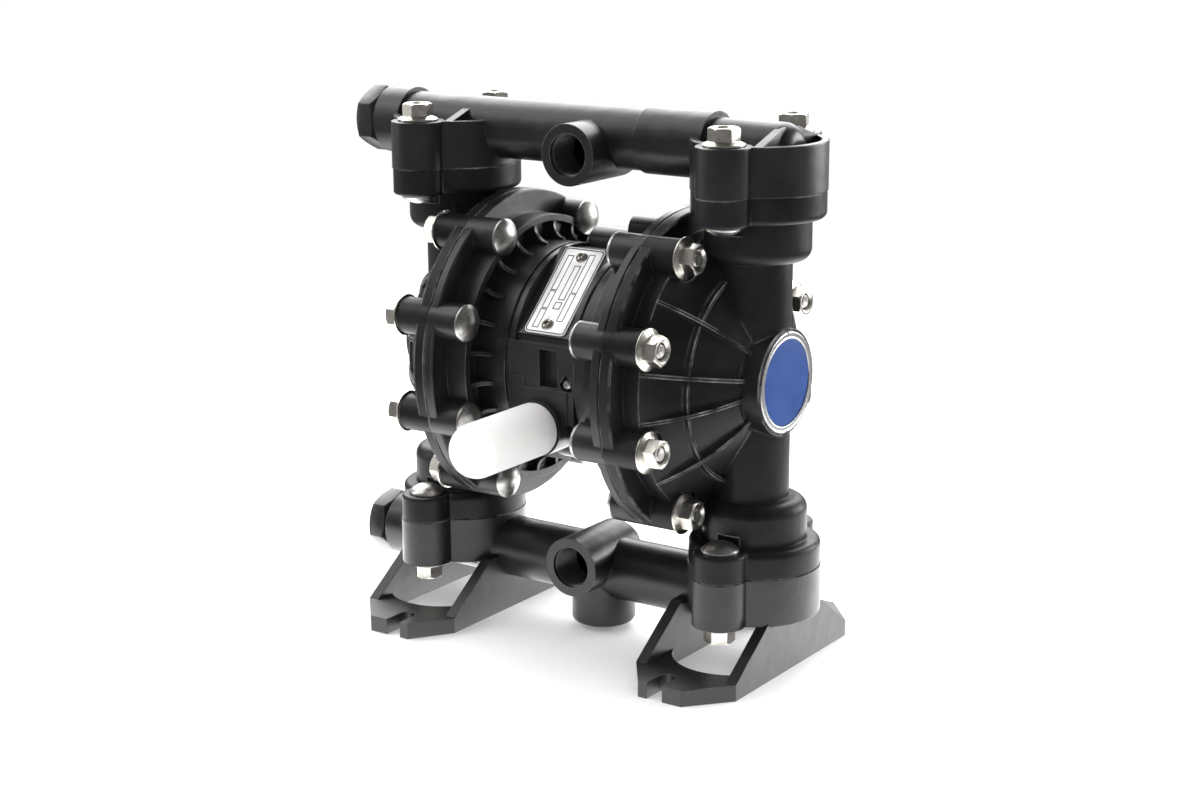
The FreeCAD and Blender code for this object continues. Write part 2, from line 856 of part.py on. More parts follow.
def o_ring(joint_z):
    """Seal in the rebate round the lower edge of a seat."""
    minor = o_ring_thick / 2
    centre = FreeCAD.Vector(tower_x, 0, joint_z - seat_high + minor + soft_gap / 2)
    major = seat_r - soft_gap / 2 - minor
    return Part.makeTorus(major, minor, centre, FreeCAD.Vector(0, 0, 1))


def check_ball(seat_top):
    """Ball resting just off its seat."""
    return Part.makeSphere(ball_r, FreeCAD.Vector(tower_x, 0, seat_top + ball_rest_height()))


# Shaft group

def diaphragm_shaft():
    """Ground shaft with a threaded stud at each end."""
    shoulder = cover_joint_x - diaphragm_thick / 2 - air_plate_thick
    end = shoulder + shaft_stud_long
    return turned([
        (-end, 0),
        (-end, shaft_stud_r),
        (-shoulder, shaft_stud_r),
        (-shoulder, shaft_r),
        (shoulder, shaft_r),
        (shoulder, shaft_stud_r),
        (end, shaft_stud_r),
        (end, 0),
    ], "x")


def air_side_plate():
    """Disc that backs the diaphragm on the air side."""
    out = cover_joint_x - diaphragm_thick / 2
    low = out - air_plate_thick
    bore = shaft_stud_r + seat_gap
    return turned([
        (low, bore),
        (low, air_plate_r - 5),
        (out - 2, air_plate_r),
        (out, air_plate_r),
        (out, bore),
    ], "x")


def fluid_side_plate():
    """Smooth crowned disc on the wetted side, screwed onto the shaft stud."""
    low = cover_joint_x + diaphragm_thick / 2
    edge = low + fluid_plate_edge
    bore = shaft_stud_r + seat_gap
    shoulder = cover_joint_x - diaphragm_thick / 2 - air_plate_thick
    deep = shoulder + shaft_stud_long + seat_gap
    return turned([
        (low, bore),
        (low, fluid_plate_r - 1),
        (low + 1, fluid_plate_r),
        (edge, fluid_plate_r),
        cap(edge, fluid_plate_r, 1, fluid_plate_thick - fluid_plate_edge),
        (deep, 0),
        (deep, bore),
    ], "x")


def diaphragm():
    """Moulded disc with a clamped bead and one rolling convolution."""
    bead_in, bead_out = diaphragm_bead_r
    half = diaphragm_thick / 2
    joint = cover_joint_x
    flat_r = air_plate_r + 1.5
    middle = (flat_r + bead_in - 2) / 2
    thin = 1.0
    bulge = diaphragm_bulge
    bead = diaphragm_bead_half - soft_gap
    return turned([
        (joint - half, shaft_stud_r + seat_gap),
        (joint - half, flat_r),
        (joint + bulge - thin, middle, joint - thin, bead_in - 2),
        (joint - thin, bead_in + soft_gap),
        (joint - bead, bead_in + soft_gap),
        (joint - bead, bead_out),
        (joint + bead, bead_out),
        (joint + bead, bead_in + soft_gap),
        (joint + thin, bead_in + soft_gap),
        (joint + thin, bead_in - 2),
        (joint + bulge + thin, middle, joint + half, flat_r),
        (joint + half, shaft_stud_r + seat_gap),
    ], "x")


# Centre housing

bearing_out_r = shaft_r + sliding_gap + bearing_wall
bearing_end_x = centre_half_width - packing_long


def shaft_bearing():
    """Sleeve that the shaft runs in."""
    start = bearing_end_x - bearing_long
    return turned([
        (start, shaft_r + sliding_gap),
        (start, bearing_out_r),
        (bearing_end_x, bearing_out_r),
        (bearing_end_x, shaft_r + sliding_gap),
    ], "x")


def shaft_packing():
    """Lip seal between the bearing and the air cover, with its open side outwards."""
    inner = shaft_r + sliding_gap
    middle = (inner + bearing_out_r) / 2
    lip = packing_lip
    return turned([
        (bearing_end_x, inner),
        (bearing_end_x, bearing_out_r),
        (centre_half_width, bearing_out_r),
        (centre_half_width, bearing_out_r - lip),
        (bearing_end_x + packing_long / 2, middle),
        (centre_half_width, inner + lip),
        (centre_half_width, inner),
    ], "x")


def tilt_plate_frame(shape):
    """Move a shape drawn flat on the plate's own plane onto the slanting pad."""
    shape.translate(FreeCAD.Vector(0, plate_shift, 0))
    shape.rotate(FreeCAD.Vector(0, 0, 0), FreeCAD.Vector(1, 0, 0), plate_tilt)
    return shape


def rounded_sheet(wide, long, corner, low, high):
    """Flat sheet with round corners, centred on the plate axis, between two heights."""
    a = wide / 2
    b = long / 2
    k = corner * (1 - math.cos(math.pi / 4))
    outline = [
        (a - corner, -b),
        (a - k, -b + k, a, -b + corner),
        (a, b - corner),
        (a - k, b - k, a - corner, b),
        (-a + corner, b),
        (-a + k, b - k, -a, b - corner),
        (-a, -b + corner),
        (-a + k, -b + k, -a + corner, -b),
    ]
    return prism(outline, lambda x, y: FreeCAD.Vector(x, y, low), (0, 0, high - low))


def plate_screw_places():
    """Places of the two plate screws on the plate, in its own plane."""
    return [(0, plate_screw_off), (0, -plate_screw_off)]


def housing_shell():
    """Ring with an end flange at each side, made flat at the front and under the rating plate."""
    half = centre_half_width
    waist = half - housing_flange_thick
    shell = turned([
        (-half, 0),
        (-half, housing_r - rim_edge),
        (-half + rim_edge, housing_r),
        (-waist, housing_r),
        (-waist, housing_waist_r),
        (waist, housing_waist_r),
        (waist, housing_r),
        (half - rim_edge, housing_r),
        (half, housing_r - rim_edge),
        (half, 0),
    ], "x")
    low = plate_offset - plate_pad_deep
    reach = plate_long / 2 + plate_pad_margin
    pad = tilt_plate_frame(block((-waist, waist), (-reach, reach), (low, plate_offset)))
    above = tilt_plate_frame(block((-waist, waist), (-2 * reach, 2 * reach),
                                   (plate_offset, plate_offset + plate_pad_cut_high)))
    front = block((-half, half), (-front_face_y, 0), front_face_z)
    ahead = block((-half - 1, half + 1), (-housing_r - 1, -front_face_y), front_face_z)
    step_low, step_high = front_step_z
    step_y = (-front_face_y - front_step_high, -front_face_y)
    apron = block((-waist, waist), step_y, (front_face_z[0], step_low))
    corner = block((-waist, front_step_x), step_y, (front_face_z[0], step_high))
    return fused([cut(fused([shell, pad, front]), [above, ahead]), fused([apron, corner])])


def ground_recess():
    """Teardrop pocket that the ground screw sits in."""
    x_low, x_tip, x_high = ground_recess_x
    z_low, z_middle, z_tip = ground_recess_z
    bend = (x_tip - x_low) * (1 - math.sqrt(0.5))
    low = -front_face_y - front_step_high - 1
    depth = ground_recess_deep + front_step_high + 1
    return prism([
        (x_tip, z_tip),
        (x_high, z_middle),
        (x_high, z_low),
        (x_tip, z_low),
        (x_low + bend, z_low + bend, x_low, z_middle),
    ], lambda x, z: FreeCAD.Vector(x, low, z), (0, depth, 0))


def air_pocket(side):
    """Hollow between the core and the outer wall, open to one air cover."""
    ends = sorted((side * housing_web_half, side * (centre_half_width + 1)))
    outer = housing_waist_r - housing_wall
    return turned([
        (ends[0], core_land_r),
        (ends[0], outer),
        (ends[1], outer),
        (ends[1], core_land_r),
    ], "x")


def centre_housing():
    """Body between the air covers: shaft bore, plate pad, exhaust boss and rear valve face."""
    half = centre_half_width
    boss = rod(exhaust_boss_r, (0, -exhaust_face_y, exhaust_z), (0, -core_land_r, exhaust_z))
    rear = block((-valve_block_half, valve_block_half), (core_land_r / 2, valve_face_y), valve_block_z)
    chest_y, chest_z = chest_at
    chest = rod(chest_r, (-valve_block_half, chest_y, chest_z), (valve_block_half, chest_y, chest_z))
    lug = rod(chest_lug_r, (chest_lug_from_x, chest_y, chest_lug_z), (half, chest_y, chest_lug_z))
    body = fused([housing_shell(), boss, rear, chest, lug])
    keep = [
        block((-half - 2, half + 2), (-housing_r, -exhaust_boss_r), (exhaust_z - exhaust_boss_r, 0)),
        block((-half - 2, half + 2), (exhaust_boss_r, housing_r), (-housing_r, housing_r)),
    ]
    tools = [ground_recess()]
    for side in (-1, 1):
        bearing_in_x = side * (bearing_end_x - bearing_long)
        tools.append(rod(bearing_out_r, (bearing_in_x, 0, 0), (side * (half + 1), 0, 0)))
        tools.append(cut(air_pocket(side), keep))
        y, z = pilot_pin_place()
        pin_end = (side * pilot_bore_end(), y, z)
        tools.append(rod(pilot_pin_r + sliding_gap, pin_end, (side * (half + 1), y, z)))
        deep = air_floor_x - air_screw_long - thread_end_gap
        for y, z in air_screw_places():
            tools.append(rod(small_screw_r, (side * deep, y, z), (side * (half + 1), y, z)))
    tools.append(rod(shaft_r + hole_gap, (-half, 0, 0), (half, 0, 0)))
    tools.append(rod(exhaust_bore_r, (0, -exhaust_face_y - 1, exhaust_z),
                     (0, -exhaust_face_y + exhaust_bore_deep, exhaust_z)))
    tools.append(block((-valve_chamber_half, valve_chamber_half), (valve_face_y - valve_chamber_deep,
                       valve_face_y + 1), valve_chamber_z))
    recess_y = (-front_face_y - 1, -front_face_y + front_recess_deep)
    tools.append(block(front_recess_x, recess_y, front_recess_z))
    for x, z in valve_screw_places():
        tools.append(rod(small_screw_r, (x, valve_face_y + 1, z), (x, valve_face_y - small_screw_grip, z)))
    x, z = ground_screw_at
    seat = -front_face_y + ground_recess_deep
    tools.append(rod(ground_screw_r, (x, seat - 1, z), (x, seat + ground_screw_long + thread_end_gap, z)))
    for x, y in plate_screw_places():
        tools.append(tilt_plate_frame(rod(small_screw_r, (x, y, plate_offset - small_screw_grip),
                                          (x, y, plate_offset + 1))))
    return cut(body, tools)


def pilot_tip_x():
    """Resting tip of the right pilot pin, so that the plate just meets it at the end of the stroke."""
    shoulder = cover_joint_x - diaphragm_thick / 2 - air_plate_thick
    return shoulder - half_stroke - pilot_end_gap + half_stroke * pilot_ratio


def pilot_bore_end():
    """Blind end of the pilot pin's bore in the centre housing."""
    return pilot_tip_x() - pilot_pin_long - half_stroke * pilot_ratio - thread_end_gap


def pilot_pin():
    """Pin that a diaphragm plate pushes at the end of its stroke."""
    y, z = pilot_pin_place()
    tip = pilot_tip_x()
    return turned([
        (tip - pilot_pin_long, 0),
        (tip - pilot_pin_long, pilot_pin_r),
        (tip - 0.8, pilot_pin_r),
        (tip, pilot_pin_r - 0.8),
        (tip, 0),
    ], "x", (0, y, z))


def air_cover_gasket():
    """Flat gasket between the centre housing and an air cover."""
    start = centre_half_width
    end = start + gasket_thick
    sheet = turned([
        (start, bearing_out_r + 1),
        (start, housing_r - 1),
        (end, housing_r - 1),
        (end, bearing_out_r + 1),
    ], "x")
    y, z = pilot_pin_place()
    tools = [rod(pilot_pin_r + hole_gap, (start - 1, y, z), (end + 1, y, z))]
    for y, z in air_screw_places():
        tools.append(rod(small_screw_r + hole_gap, (start - 1, y, z), (end + 1, y, z)))
    return cut(sheet, tools)


def air_cover_screws():
    """Three pan-head screws whose heads lie on the floor of the air chamber."""
    screws = []
    for y, z in air_screw_places():
        screws.append(turned([
            (air_floor_x - air_screw_long, 0),
            (air_floor_x - air_screw_long, small_screw_r - seat_gap),
            (air_floor_x, small_screw_r - seat_gap),
            (air_floor_x, air_screw_head_r),
            (air_floor_x + air_screw_head_high, 0),
        ], "x", (0, y, z)))
    return screws


# Main air valve behind the centre housing

valve_chamber_half = carriage_half + carriage_travel + carriage_stop_gap


def valve_screw_places():
    """(x, z) of the four valve cover screws."""
    return [(x, z) for x in (-valve_screw_x, valve_screw_x) for z in valve_screw_z]


def valve_cover():
    """Rear cover with the threaded air inlet."""
    low = valve_face_y + valve_gasket_thick
    top = low + valve_cover_thick
    body = block((-valve_block_half, valve_block_half), (low, top), valve_block_z)
    upright = [e for e in body.Edges if abs(e.tangentAt(e.FirstParameter).y) > 0.9]
    body = body.makeFillet(5.0, upright)
    boss = rod(air_inlet_boss_r, (0, top - 1, air_inlet_z), (0, top + air_inlet_long, air_inlet_z))
    body = fused([body, boss])
    tools = [rod(air_inlet_bore_r, (0, low - 1, air_inlet_z), (0, top + air_inlet_long + 1, air_inlet_z))]
    for x, z in valve_screw_places():
        tools.append(rod(small_screw_r + hole_gap / 2, (x, low - 1, z), (x, top + 1, z)))
    return cut(body, tools)


def valve_gasket():
    """Gasket frame round the valve chamber."""
    low = valve_face_y
    top = low + valve_gasket_thick
    z_low, z_high = valve_block_z
    frame = block((-valve_block_half + 1, valve_block_half - 1), (low, top), (z_low + 1, z_high - 1))
    tools = [block((-valve_chamber_half, valve_chamber_half), (low - 1, top + 1), valve_chamber_z)]
    for x, z in valve_screw_places():
        tools.append(rod(small_screw_r + hole_gap / 2, (x, low - 1, z), (x, top + 1, z)))
    return cut(frame, tools)


def valve_cover_screws():
    """Four pan-head screws of the valve cover."""
    seat = valve_face_y + valve_gasket_thick + valve_cover_thick
    deep = valve_face_y - small_screw_grip + thread_end_gap
    head = (small_head_r, small_head_high)
    return [pan_screw_y(x, z, deep, seat, small_screw_r, head) for x, z in valve_screw_places()]


def pan_screw_y(x, z, tip, seat, shank_r, head):
    """Small pan-head screw along Y, its head on the far side of the seat from the tip."""
    head_r, head_high = head
    way = 1 if seat > tip else -1
    top = seat + way * head_high
    drop, shoulder, crown = small_head_crown
    return turned([
        (tip, 0),
        (tip, shank_r - seat_gap),
        (seat, shank_r - seat_gap),
        (seat, head_r),
        (top - way * head_high * drop, head_r * shoulder),
        (top, head_r * crown),
        (top, 0),
    ], "y", (x, 0, z))


def valve_plate():
    """Hard flat plate with three ports that the carriage slides on."""
    floor = valve_face_y - valve_chamber_deep
    z_low, z_high = valve_chamber_z
    sheet = block((-valve_chamber_half + soft_gap, valve_chamber_half - soft_gap),
                  (floor, floor + valve_plate_thick), (z_low + soft_gap, z_high - soft_gap))
    middle = (z_low + z_high) / 2
    half_high = valve_port_high / 2
    half_wide = valve_port_w / 2
    ports = []
    for x in valve_port_x:
        ports.append(block((x - half_wide, x + half_wide), (floor - 1, floor + valve_plate_thick + 1),
                           (middle - half_high, middle + half_high)))
    return cut(sheet, ports)


def valve_carriage():
    """Cup that slides between two stops and swaps the air ports."""
    low = valve_face_y - valve_chamber_deep + valve_plate_thick + sliding_gap
    middle = sum(valve_chamber_z) / 2
    z = (middle - carriage_high / 2, middle + carriage_high / 2)
    body = block((-carriage_half, carriage_half), (low, low + carriage_deep), z)
    upright = [e for e in body.Edges if abs(e.tangentAt(e.FirstParameter).y) > 0.9]
    body = body.makeFillet(2.5, upright)
    inner = carriage_half - carriage_wall
    cup = block((-inner, inner), (low - 1, low + 4), (z[0] + carriage_wall, z[1] - carriage_wall))
    return body.cut(cup)


# Fasteners

def dome_bolt(axis, seat, way, tip, centre):
    """Dome-head bolt: head beyond the seat on one side, shank to the tip."""
    edge = seat + way * bolt_head_edge
    return turned([
        (tip, 0),
        (tip, bolt_shank_r),
        (seat, bolt_shank_r),
        (seat, bolt_head_r),
        (edge, bolt_head_r),
        cap(edge, bolt_head_r, way, bolt_head_high - bolt_head_edge),
    ], axis, centre)


def flange_nut(axis, seat, way, centre, turn):
    """Hexagon nut with a round flange, closed over the end of its bolt."""
    hole_end = seat + way * (nut_high - nut_end_cover)
    flange_top = seat + way * nut_flange_thick
    washer = turned([
        (seat, 0),
        (seat, nut_flange_r),
        (seat + way * nut_flange_thick * 0.5, nut_flange_r),
        (flange_top, nut_flange_r - 2.2),
        (flange_top, 0),
    ], axis)
    low = min(seat, seat + way * nut_high)
    start = (low, 0, 0) if axis == "x" else (0, 0, low)
    solid = fused([washer, hexagon(nut_across_flats, start, nut_high, axis, turn)])
    edge_r = nut_across_flats / 2 + nut_end_round
    end = seat + way * nut_high
    trim = turned([
        (seat - way, 0),
        (seat - way, nut_flange_r + 1),
        (end - way * nut_chamfer, nut_flange_r + 1),
        (end - way * nut_end_step, edge_r + nut_end_round),
        (end, edge_r),
        (end, 0),
    ], axis)
    solid = solid.common(trim)
    hole = turned([
        (seat - way, 0),
        (seat - way, bolt_shank_r + seat_gap),
        (hole_end, bolt_shank_r + seat_gap),
        (hole_end, 0),
    ], axis)
    solid = solid.cut(hole)
    solid.translate(vec(centre))
    return solid


def bolt_tip(seat, way):
    """Where a bolt ends inside its nut."""
    return seat + way * (nut_high - nut_end_cover - seat_gap)


def cover_bolts():
    """Eight dome-head bolts of the right covers, heads on the inner side."""
    tip = bolt_tip(fluid_boss_end_x, 1)
    return [dome_bolt("x", air_boss_end_x, -1, tip, (0, y, z)) for y, z in cover_bolt_places()]


def cover_nuts():
    """Eight flange nuts of the right covers, each turned a little differently."""
    nuts = []
    for k, (y, z) in enumerate(cover_bolt_places()):
        nuts.append(flange_nut("x", fluid_boss_end_x, 1, (0, y, z), cover_nut_turn * k))
    return nuts


def manifold_bolts(way):
    """Four dome-head bolts of a manifold, heads towards the shaft."""
    seat = way * (joint_height - cover_flange_thick)
    tip = bolt_tip(way * (joint_height + manifold_flange_thick), way)
    return [dome_bolt("z", seat, -way, tip, (x, y, 0)) for x, y in tower_bolt_places()]


def manifold_nuts(way):
    """Four flange nuts of a manifold."""
    seat = way * (joint_height + manifold_flange_thick)
    first, step = manifold_nut_turn
    nuts = []
    for k, (x, y) in enumerate(tower_bolt_places()):
        nuts.append(flange_nut("z", seat, way, (x, y, 0), first + step * k))
    return nuts


def end_plug(turn):
    """Hexagon plug in the threaded left end of the upper manifold."""
    face_x = -end_collar_x
    neck_x = face_x - plug_neck_long
    end = neck_x - plug_hex_long
    head = hexagon(plug_across_flats, (end, 0, 0), plug_hex_long, "x", turn)
    corner_r = plug_across_flats / 2 / math.cos(math.pi / 6)
    trim = turned([
        (end, 0),
        (end, plug_across_flats / 2 - plug_corner_step),
        (end + plug_edge, corner_r),
        (neck_x - plug_edge, corner_r),
        (neck_x, plug_across_flats / 2 - plug_corner_step),
        (neck_x, 0),
    ], "x")
    head = head.common(trim)
    neck = rod(plug_neck_r, (neck_x - 1, 0, 0), (face_x, 0, 0))
    thread = rod(tube_bore_r - seat_gap, (face_x - 1, 0, 0), (face_x + plug_thread_long, 0, 0))
    plug = fused([head, neck, thread])
    plug.translate(FreeCAD.Vector(0, 0, tube_axis_z))
    return plug


# Muffler, plates and badges

def muffler():
    """Porous capsule on a threaded stub."""
    start = -exhaust_face_y
    end = start - muffler_long
    bend = muffler_end * (1 - math.cos(math.pi / 4))
    shoulder = muffler_shoulder * (1 - math.cos(math.pi / 4))
    tip = start + muffler_thread_long
    return turned([
        (end, 0),
        (end, muffler_r - muffler_end),
        (end + bend, muffler_r - bend, end + muffler_end, muffler_r),
        (start - muffler_shoulder, muffler_r),
        (start - shoulder, muffler_r - shoulder, start, muffler_r - muffler_shoulder),
        (start, exhaust_bore_r - seat_gap),
        (tip, exhaust_bore_r - seat_gap),
        (tip, 0),
    ], "y", (0, 0, exhaust_z))


def rating_plate():
    """Bare metal plate on the slanting pad."""
    sheet = rounded_sheet(plate_wide, plate_long, plate_corner, plate_offset, plate_offset + plate_thick)
    holes = []
    for x, y in plate_screw_places():
        holes.append(rod(small_screw_r + hole_gap / 2, (x, y, plate_offset - 1), (x, y, plate_offset + 2)))
    return tilt_plate_frame(cut(sheet, holes))


def rating_plate_screws():
    """Two small pan-head screws of the rating plate."""
    base, shoulder, crown = plate_head_crown
    screws = []
    for x, y in plate_screw_places():
        seat = plate_offset + plate_thick
        tip = plate_offset - small_screw_grip + thread_end_gap
        screw = turned([
            (tip, 0),
            (tip, small_screw_r - seat_gap),
            (seat, small_screw_r - seat_gap),
            (seat, small_head_r * base),
            (seat + plate_head_rim, small_head_r * shoulder),
            (seat + plate_head_high, small_head_r * crown),
            (seat + plate_head_high, 0),
        ], "z", (x, y, 0))
        screws.append(tilt_plate_frame(screw))
    return screws


def badge():
    """Round bare badge in the recess of its boss, with a raised border."""
    low = badge_boss_x - badge_recess
    top = low + badge_thick
    field = top - badge_border_high
    inner = badge_r - badge_border
    return turned([
        (low, 0),
        (low, badge_r),
        (field, badge_r),
        (top, badge_r - badge_border_high),
        (top, inner),
        (field, inner - badge_border_high),
        (field, 0),
    ], "x")


def ground_screw():
    """Earthing screw at the front of the centre housing."""
    x, z = ground_screw_at
    seat = -front_face_y + ground_recess_deep
    head = (ground_head_r, ground_head_high)
    return pan_screw_y(x, z, seat + ground_screw_long, seat, ground_screw_r, head)


# Assembly

def pair(name, shape):
    """The right piece and its mirror image on the left."""
    return {name + "_right": shape, name + "_left": flipped(shape, (1, 0, 0))}


def assembly():
    """Every node by name."""
    nodes = {
        "centre_housing": centre_housing(),
        "outlet_manifold": outlet_manifold(),
        "inlet_manifold": inlet_manifold(),
        "inlet_stub": inlet_stub(),
        "diaphragm_shaft": diaphragm_shaft(),
        "outlet_manifold_bolts": Part.makeCompound(manifold_bolts(1)),
        "outlet_manifold_nuts": Part.makeCompound(manifold_nuts(1)),
        "inlet_manifold_bolts": Part.makeCompound(manifold_bolts(-1)),
        "inlet_manifold_nuts": Part.makeCompound(manifold_nuts(-1)),
        "outlet_end_plug": end_plug(0.0),
        "inlet_end_plug": flipped(end_plug(12.0), (0, 0, 1)),
        "muffler": muffler(),
        "rating_plate": rating_plate(),
        "rating_plate_screws": Part.makeCompound(rating_plate_screws()),
        "ground_screw": ground_screw(),
        "valve_cover": valve_cover(),
        "valve_cover_screws": Part.makeCompound(valve_cover_screws()),
        "valve_gasket": valve_gasket(),
        "valve_plate": valve_plate(),
        "valve_carriage": valve_carriage(),
    }
    nodes.update(pair("air_cover", air_cover()))
    nodes.update(pair("fluid_cover", fluid_cover()))
    nodes.update(pair("diaphragm", diaphragm()))
    nodes.update(pair("air_side_plate", air_side_plate()))
    nodes.update(pair("fluid_side_plate", fluid_side_plate()))
    nodes.update(pair("shaft_bearing", shaft_bearing()))
    nodes.update(pair("shaft_packing", shaft_packing()))
    nodes.update(pair("air_cover_gasket", air_cover_gasket()))
    nodes.update(pair("air_cover_screws", Part.makeCompound(air_cover_screws())))
    nodes.update(pair("pilot_pin", pilot_pin()))
    nodes.update(pair("cover_bolts", Part.makeCompound(cover_bolts())))
    nodes.update(pair("cover_nuts", Part.makeCompound(cover_nuts())))
    nodes.update(pair("badge", badge()))
    nodes.update(inlet_feet())
    for level, joint in (("outlet", joint_height), ("inlet", -joint_height)):
        nodes.update(pair(level + "_valve_seat", valve_seat(joint)))
        nodes.update(pair(level + "_seat_o_ring", o_ring(joint)))
        nodes.update(pair(level + "_check_ball", check_ball(joint)))
    return nodes


os.makedirs("parts", exist_ok=True)
for name, shape in assembly().items():
    shape.translate(FreeCAD.Vector(0, 0, axis_height))
    shape.exportStep("parts/" + name + ".step")
    print(name, len(shape.Solids), round(shape.Volume / 1000, 2), shape.isValid())
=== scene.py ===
import math
import bpy
from mathutils import Matrix, Vector


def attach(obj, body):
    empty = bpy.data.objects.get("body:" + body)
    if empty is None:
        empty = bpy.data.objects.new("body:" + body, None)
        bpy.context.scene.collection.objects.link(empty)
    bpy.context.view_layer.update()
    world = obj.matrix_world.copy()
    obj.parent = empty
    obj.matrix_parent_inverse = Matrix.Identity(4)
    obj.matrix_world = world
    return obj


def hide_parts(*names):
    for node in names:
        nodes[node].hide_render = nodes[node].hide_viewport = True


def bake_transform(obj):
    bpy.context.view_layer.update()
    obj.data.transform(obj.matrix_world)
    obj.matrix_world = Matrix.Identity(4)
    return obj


# Air-operated double diaphragm pump with moulded black covers and manifolds, in metres.
# X runs along the diaphragm shaft, -Y is the side of the ports and the muffler, +Z is up.

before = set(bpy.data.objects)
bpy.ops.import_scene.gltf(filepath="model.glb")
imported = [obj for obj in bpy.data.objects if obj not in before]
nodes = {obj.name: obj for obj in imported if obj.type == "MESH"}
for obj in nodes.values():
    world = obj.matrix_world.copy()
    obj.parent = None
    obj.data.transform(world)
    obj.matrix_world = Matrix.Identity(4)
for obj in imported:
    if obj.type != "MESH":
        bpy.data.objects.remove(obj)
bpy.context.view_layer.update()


# Camera
# It stands where the photograph was taken from: in front, to the right and a little above the pump.
# A long lens keeps the upright edges nearly parallel.

camera_at = Vector((0.5999, -0.8792, 0.3870))
camera_azimuth = math.radians(34.384)
camera_elevation = math.radians(14.229)
camera_roll = math.radians(-0.27)
camera_lens = 66.6
camera_sensor = 36.0

bpy.ops.object.camera_add()
camera = bpy.context.object
camera.name = "photograph_camera"
camera.data.sensor_width = camera_sensor
camera.data.lens = camera_lens
camera_back = Vector((math.sin(camera_azimuth) * math.cos(camera_elevation),
                      -math.cos(camera_azimuth) * math.cos(camera_elevation),
                      math.sin(camera_elevation)))
level_right = Vector((math.cos(camera_azimuth), math.sin(camera_azimuth), 0.0))
level_up = camera_back.cross(level_right)
camera_right = level_right * math.cos(camera_roll) + level_up * math.sin(camera_roll)
camera_turn = Matrix((camera_right, camera_back.cross(camera_right), camera_back)).transposed()
camera.matrix_world = Matrix.Translation(camera_at) @ camera_turn.to_4x4()
bpy.context.scene.camera = camera


# Studio
# A plain pale floor, an even white surround and four soft boxes. Only mirrored rays see the
# surround greyer overhead, at the horizon and on the lens's side, and the floor bright near the
# pump, which draws the gradients on the black plastic.

surround_light = 1.12
surround_back = 0.62
surround_top = 0.20
surround_front = 0.20
surround_horizon = 0.20
top_rise = (0.25, 0.75)
horizon_rise = (0.12, 0.36)
lens_side = (0.35, -0.94, 0.0)
surround_turn = (-0.35, 0.45)
floor_size = 8.0
floor_grey = (0.86, 0.86, 0.86)
floor_rough = 0.9
floor_gloss = 0.1
floor_lift = 0.16
floor_front = 0.6
floor_near = 4.2
floor_ring = 0.22
floor_far = 0.5
floor_turn = (-0.30, 0.75)
seen_reach = (0.2, 1.1)
mirrored_reach = (0.0, 0.10)
near_reach = (0.20, 0.48)
far_reach = (0.60, 0.90)
white = (1.0, 1.0, 1.0)
box_aim = Vector((0.0, 0.0, 0.14))
soft_boxes = (
    ("back_top_box", (-0.65, 1.05, 1.05), (2.0, 1.3), 46.0),
    ("top_left_box", (-0.80, -0.32, 1.35), (0.9, 0.9), 5.5),
    ("left_box", (-1.5, -0.75, 0.8), (0.5, 1.3), 9.0),
    ("right_back_box", (1.0, 1.45, 0.45), (0.9, 0.8), 24.0))


def feed(tree, node, inputs):
    """Fills a node's inputs with links from sockets, numbers, vectors or three-number colours."""
    for key, value in inputs.items():
        socket = node.inputs[key]
        if isinstance(value, bpy.types.NodeSocket):
            tree.links.new(value, socket)
        else:
            socket.default_value = (*value, 1.0) if socket.type == "RGBA" else value


def add_node(tree, kind, inputs=None, **settings):
    """New shader node with its settings and inputs; the node."""
    node = tree.nodes.new("ShaderNode" + kind)
    for key, value in settings.items():
        setattr(node, key, value)
    feed(tree, node, inputs or {})
    return node


def math_node(tree, operation, first, second):
    """Math node on two sockets or numbers; its result socket."""
    return add_node(tree, "Math", {0: first, 1: second}, operation=operation).outputs[0]


def match_node(tree, first, second):
    """How far two directions agree, from 1 to -1; its result socket."""
    node = add_node(tree, "VectorMath", {0: first, 1: second}, operation="DOT_PRODUCT")
    return node.outputs["Value"]


def spread(tree, value, span, to=(0.0, 1.0), kind="LINEAR"):
    """Map of a value from one span to another, clamped; its result socket."""
    node = add_node(tree, "MapRange", {
        "Value": value, "From Min": span[0], "From Max": span[1], "To Min": to[0],
        "To Max": to[1]}, interpolation_type=kind)
    return node.outputs[0]


def plain_material(name):
    """New material: the material, its tree and its shader."""
    material = bpy.data.materials.new(name)
    material.use_nodes = True
    return material, material.node_tree, material.node_tree.nodes["Principled BSDF"]


def pump_place(tree):
    """Place in the pump's own coordinates; its socket."""
    return add_node(tree, "TexCoord").outputs["Object"]


def dress(mesh, material):
    """Gives a mesh one material."""
    mesh.materials.clear()
    mesh.materials.append(material)


bpy.context.scene.view_settings.view_transform = "Standard"
world = bpy.data.worlds.new("studio_surround")
bpy.context.scene.world = world
world.use_nodes = True
tree = world.node_tree
tree.nodes.clear()
direction = add_node(tree, "TexCoord").outputs["Generated"]
rise = add_node(tree, "SeparateXYZ", {0: direction}).outputs["Z"]
overhead = spread(tree, rise, top_rise, (surround_back, surround_top), "SMOOTHSTEP")
horizon = spread(tree, rise, horizon_rise, (surround_horizon / surround_back, 1.0), "SMOOTHSTEP")
lens_dim = spread(tree, match_node(tree, direction, lens_side), surround_turn,
                  (1.0, surround_front / surround_back), "SMOOTHSTEP")
mirrored = math_node(tree, "MULTIPLY", math_node(tree, "MULTIPLY", overhead, horizon), lens_dim)
rays = add_node(tree, "LightPath").outputs
sharp = math_node(tree, "MAXIMUM", rays["Is Glossy Ray"], rays["Is Transmission Ray"])
level = spread(tree, sharp, (0.0, 1.0), (surround_light, mirrored))
strength = math_node(tree, "MAXIMUM", level, rays["Is Camera Ray"])
shine = add_node(tree, "Background", {"Color": white, "Strength": strength})
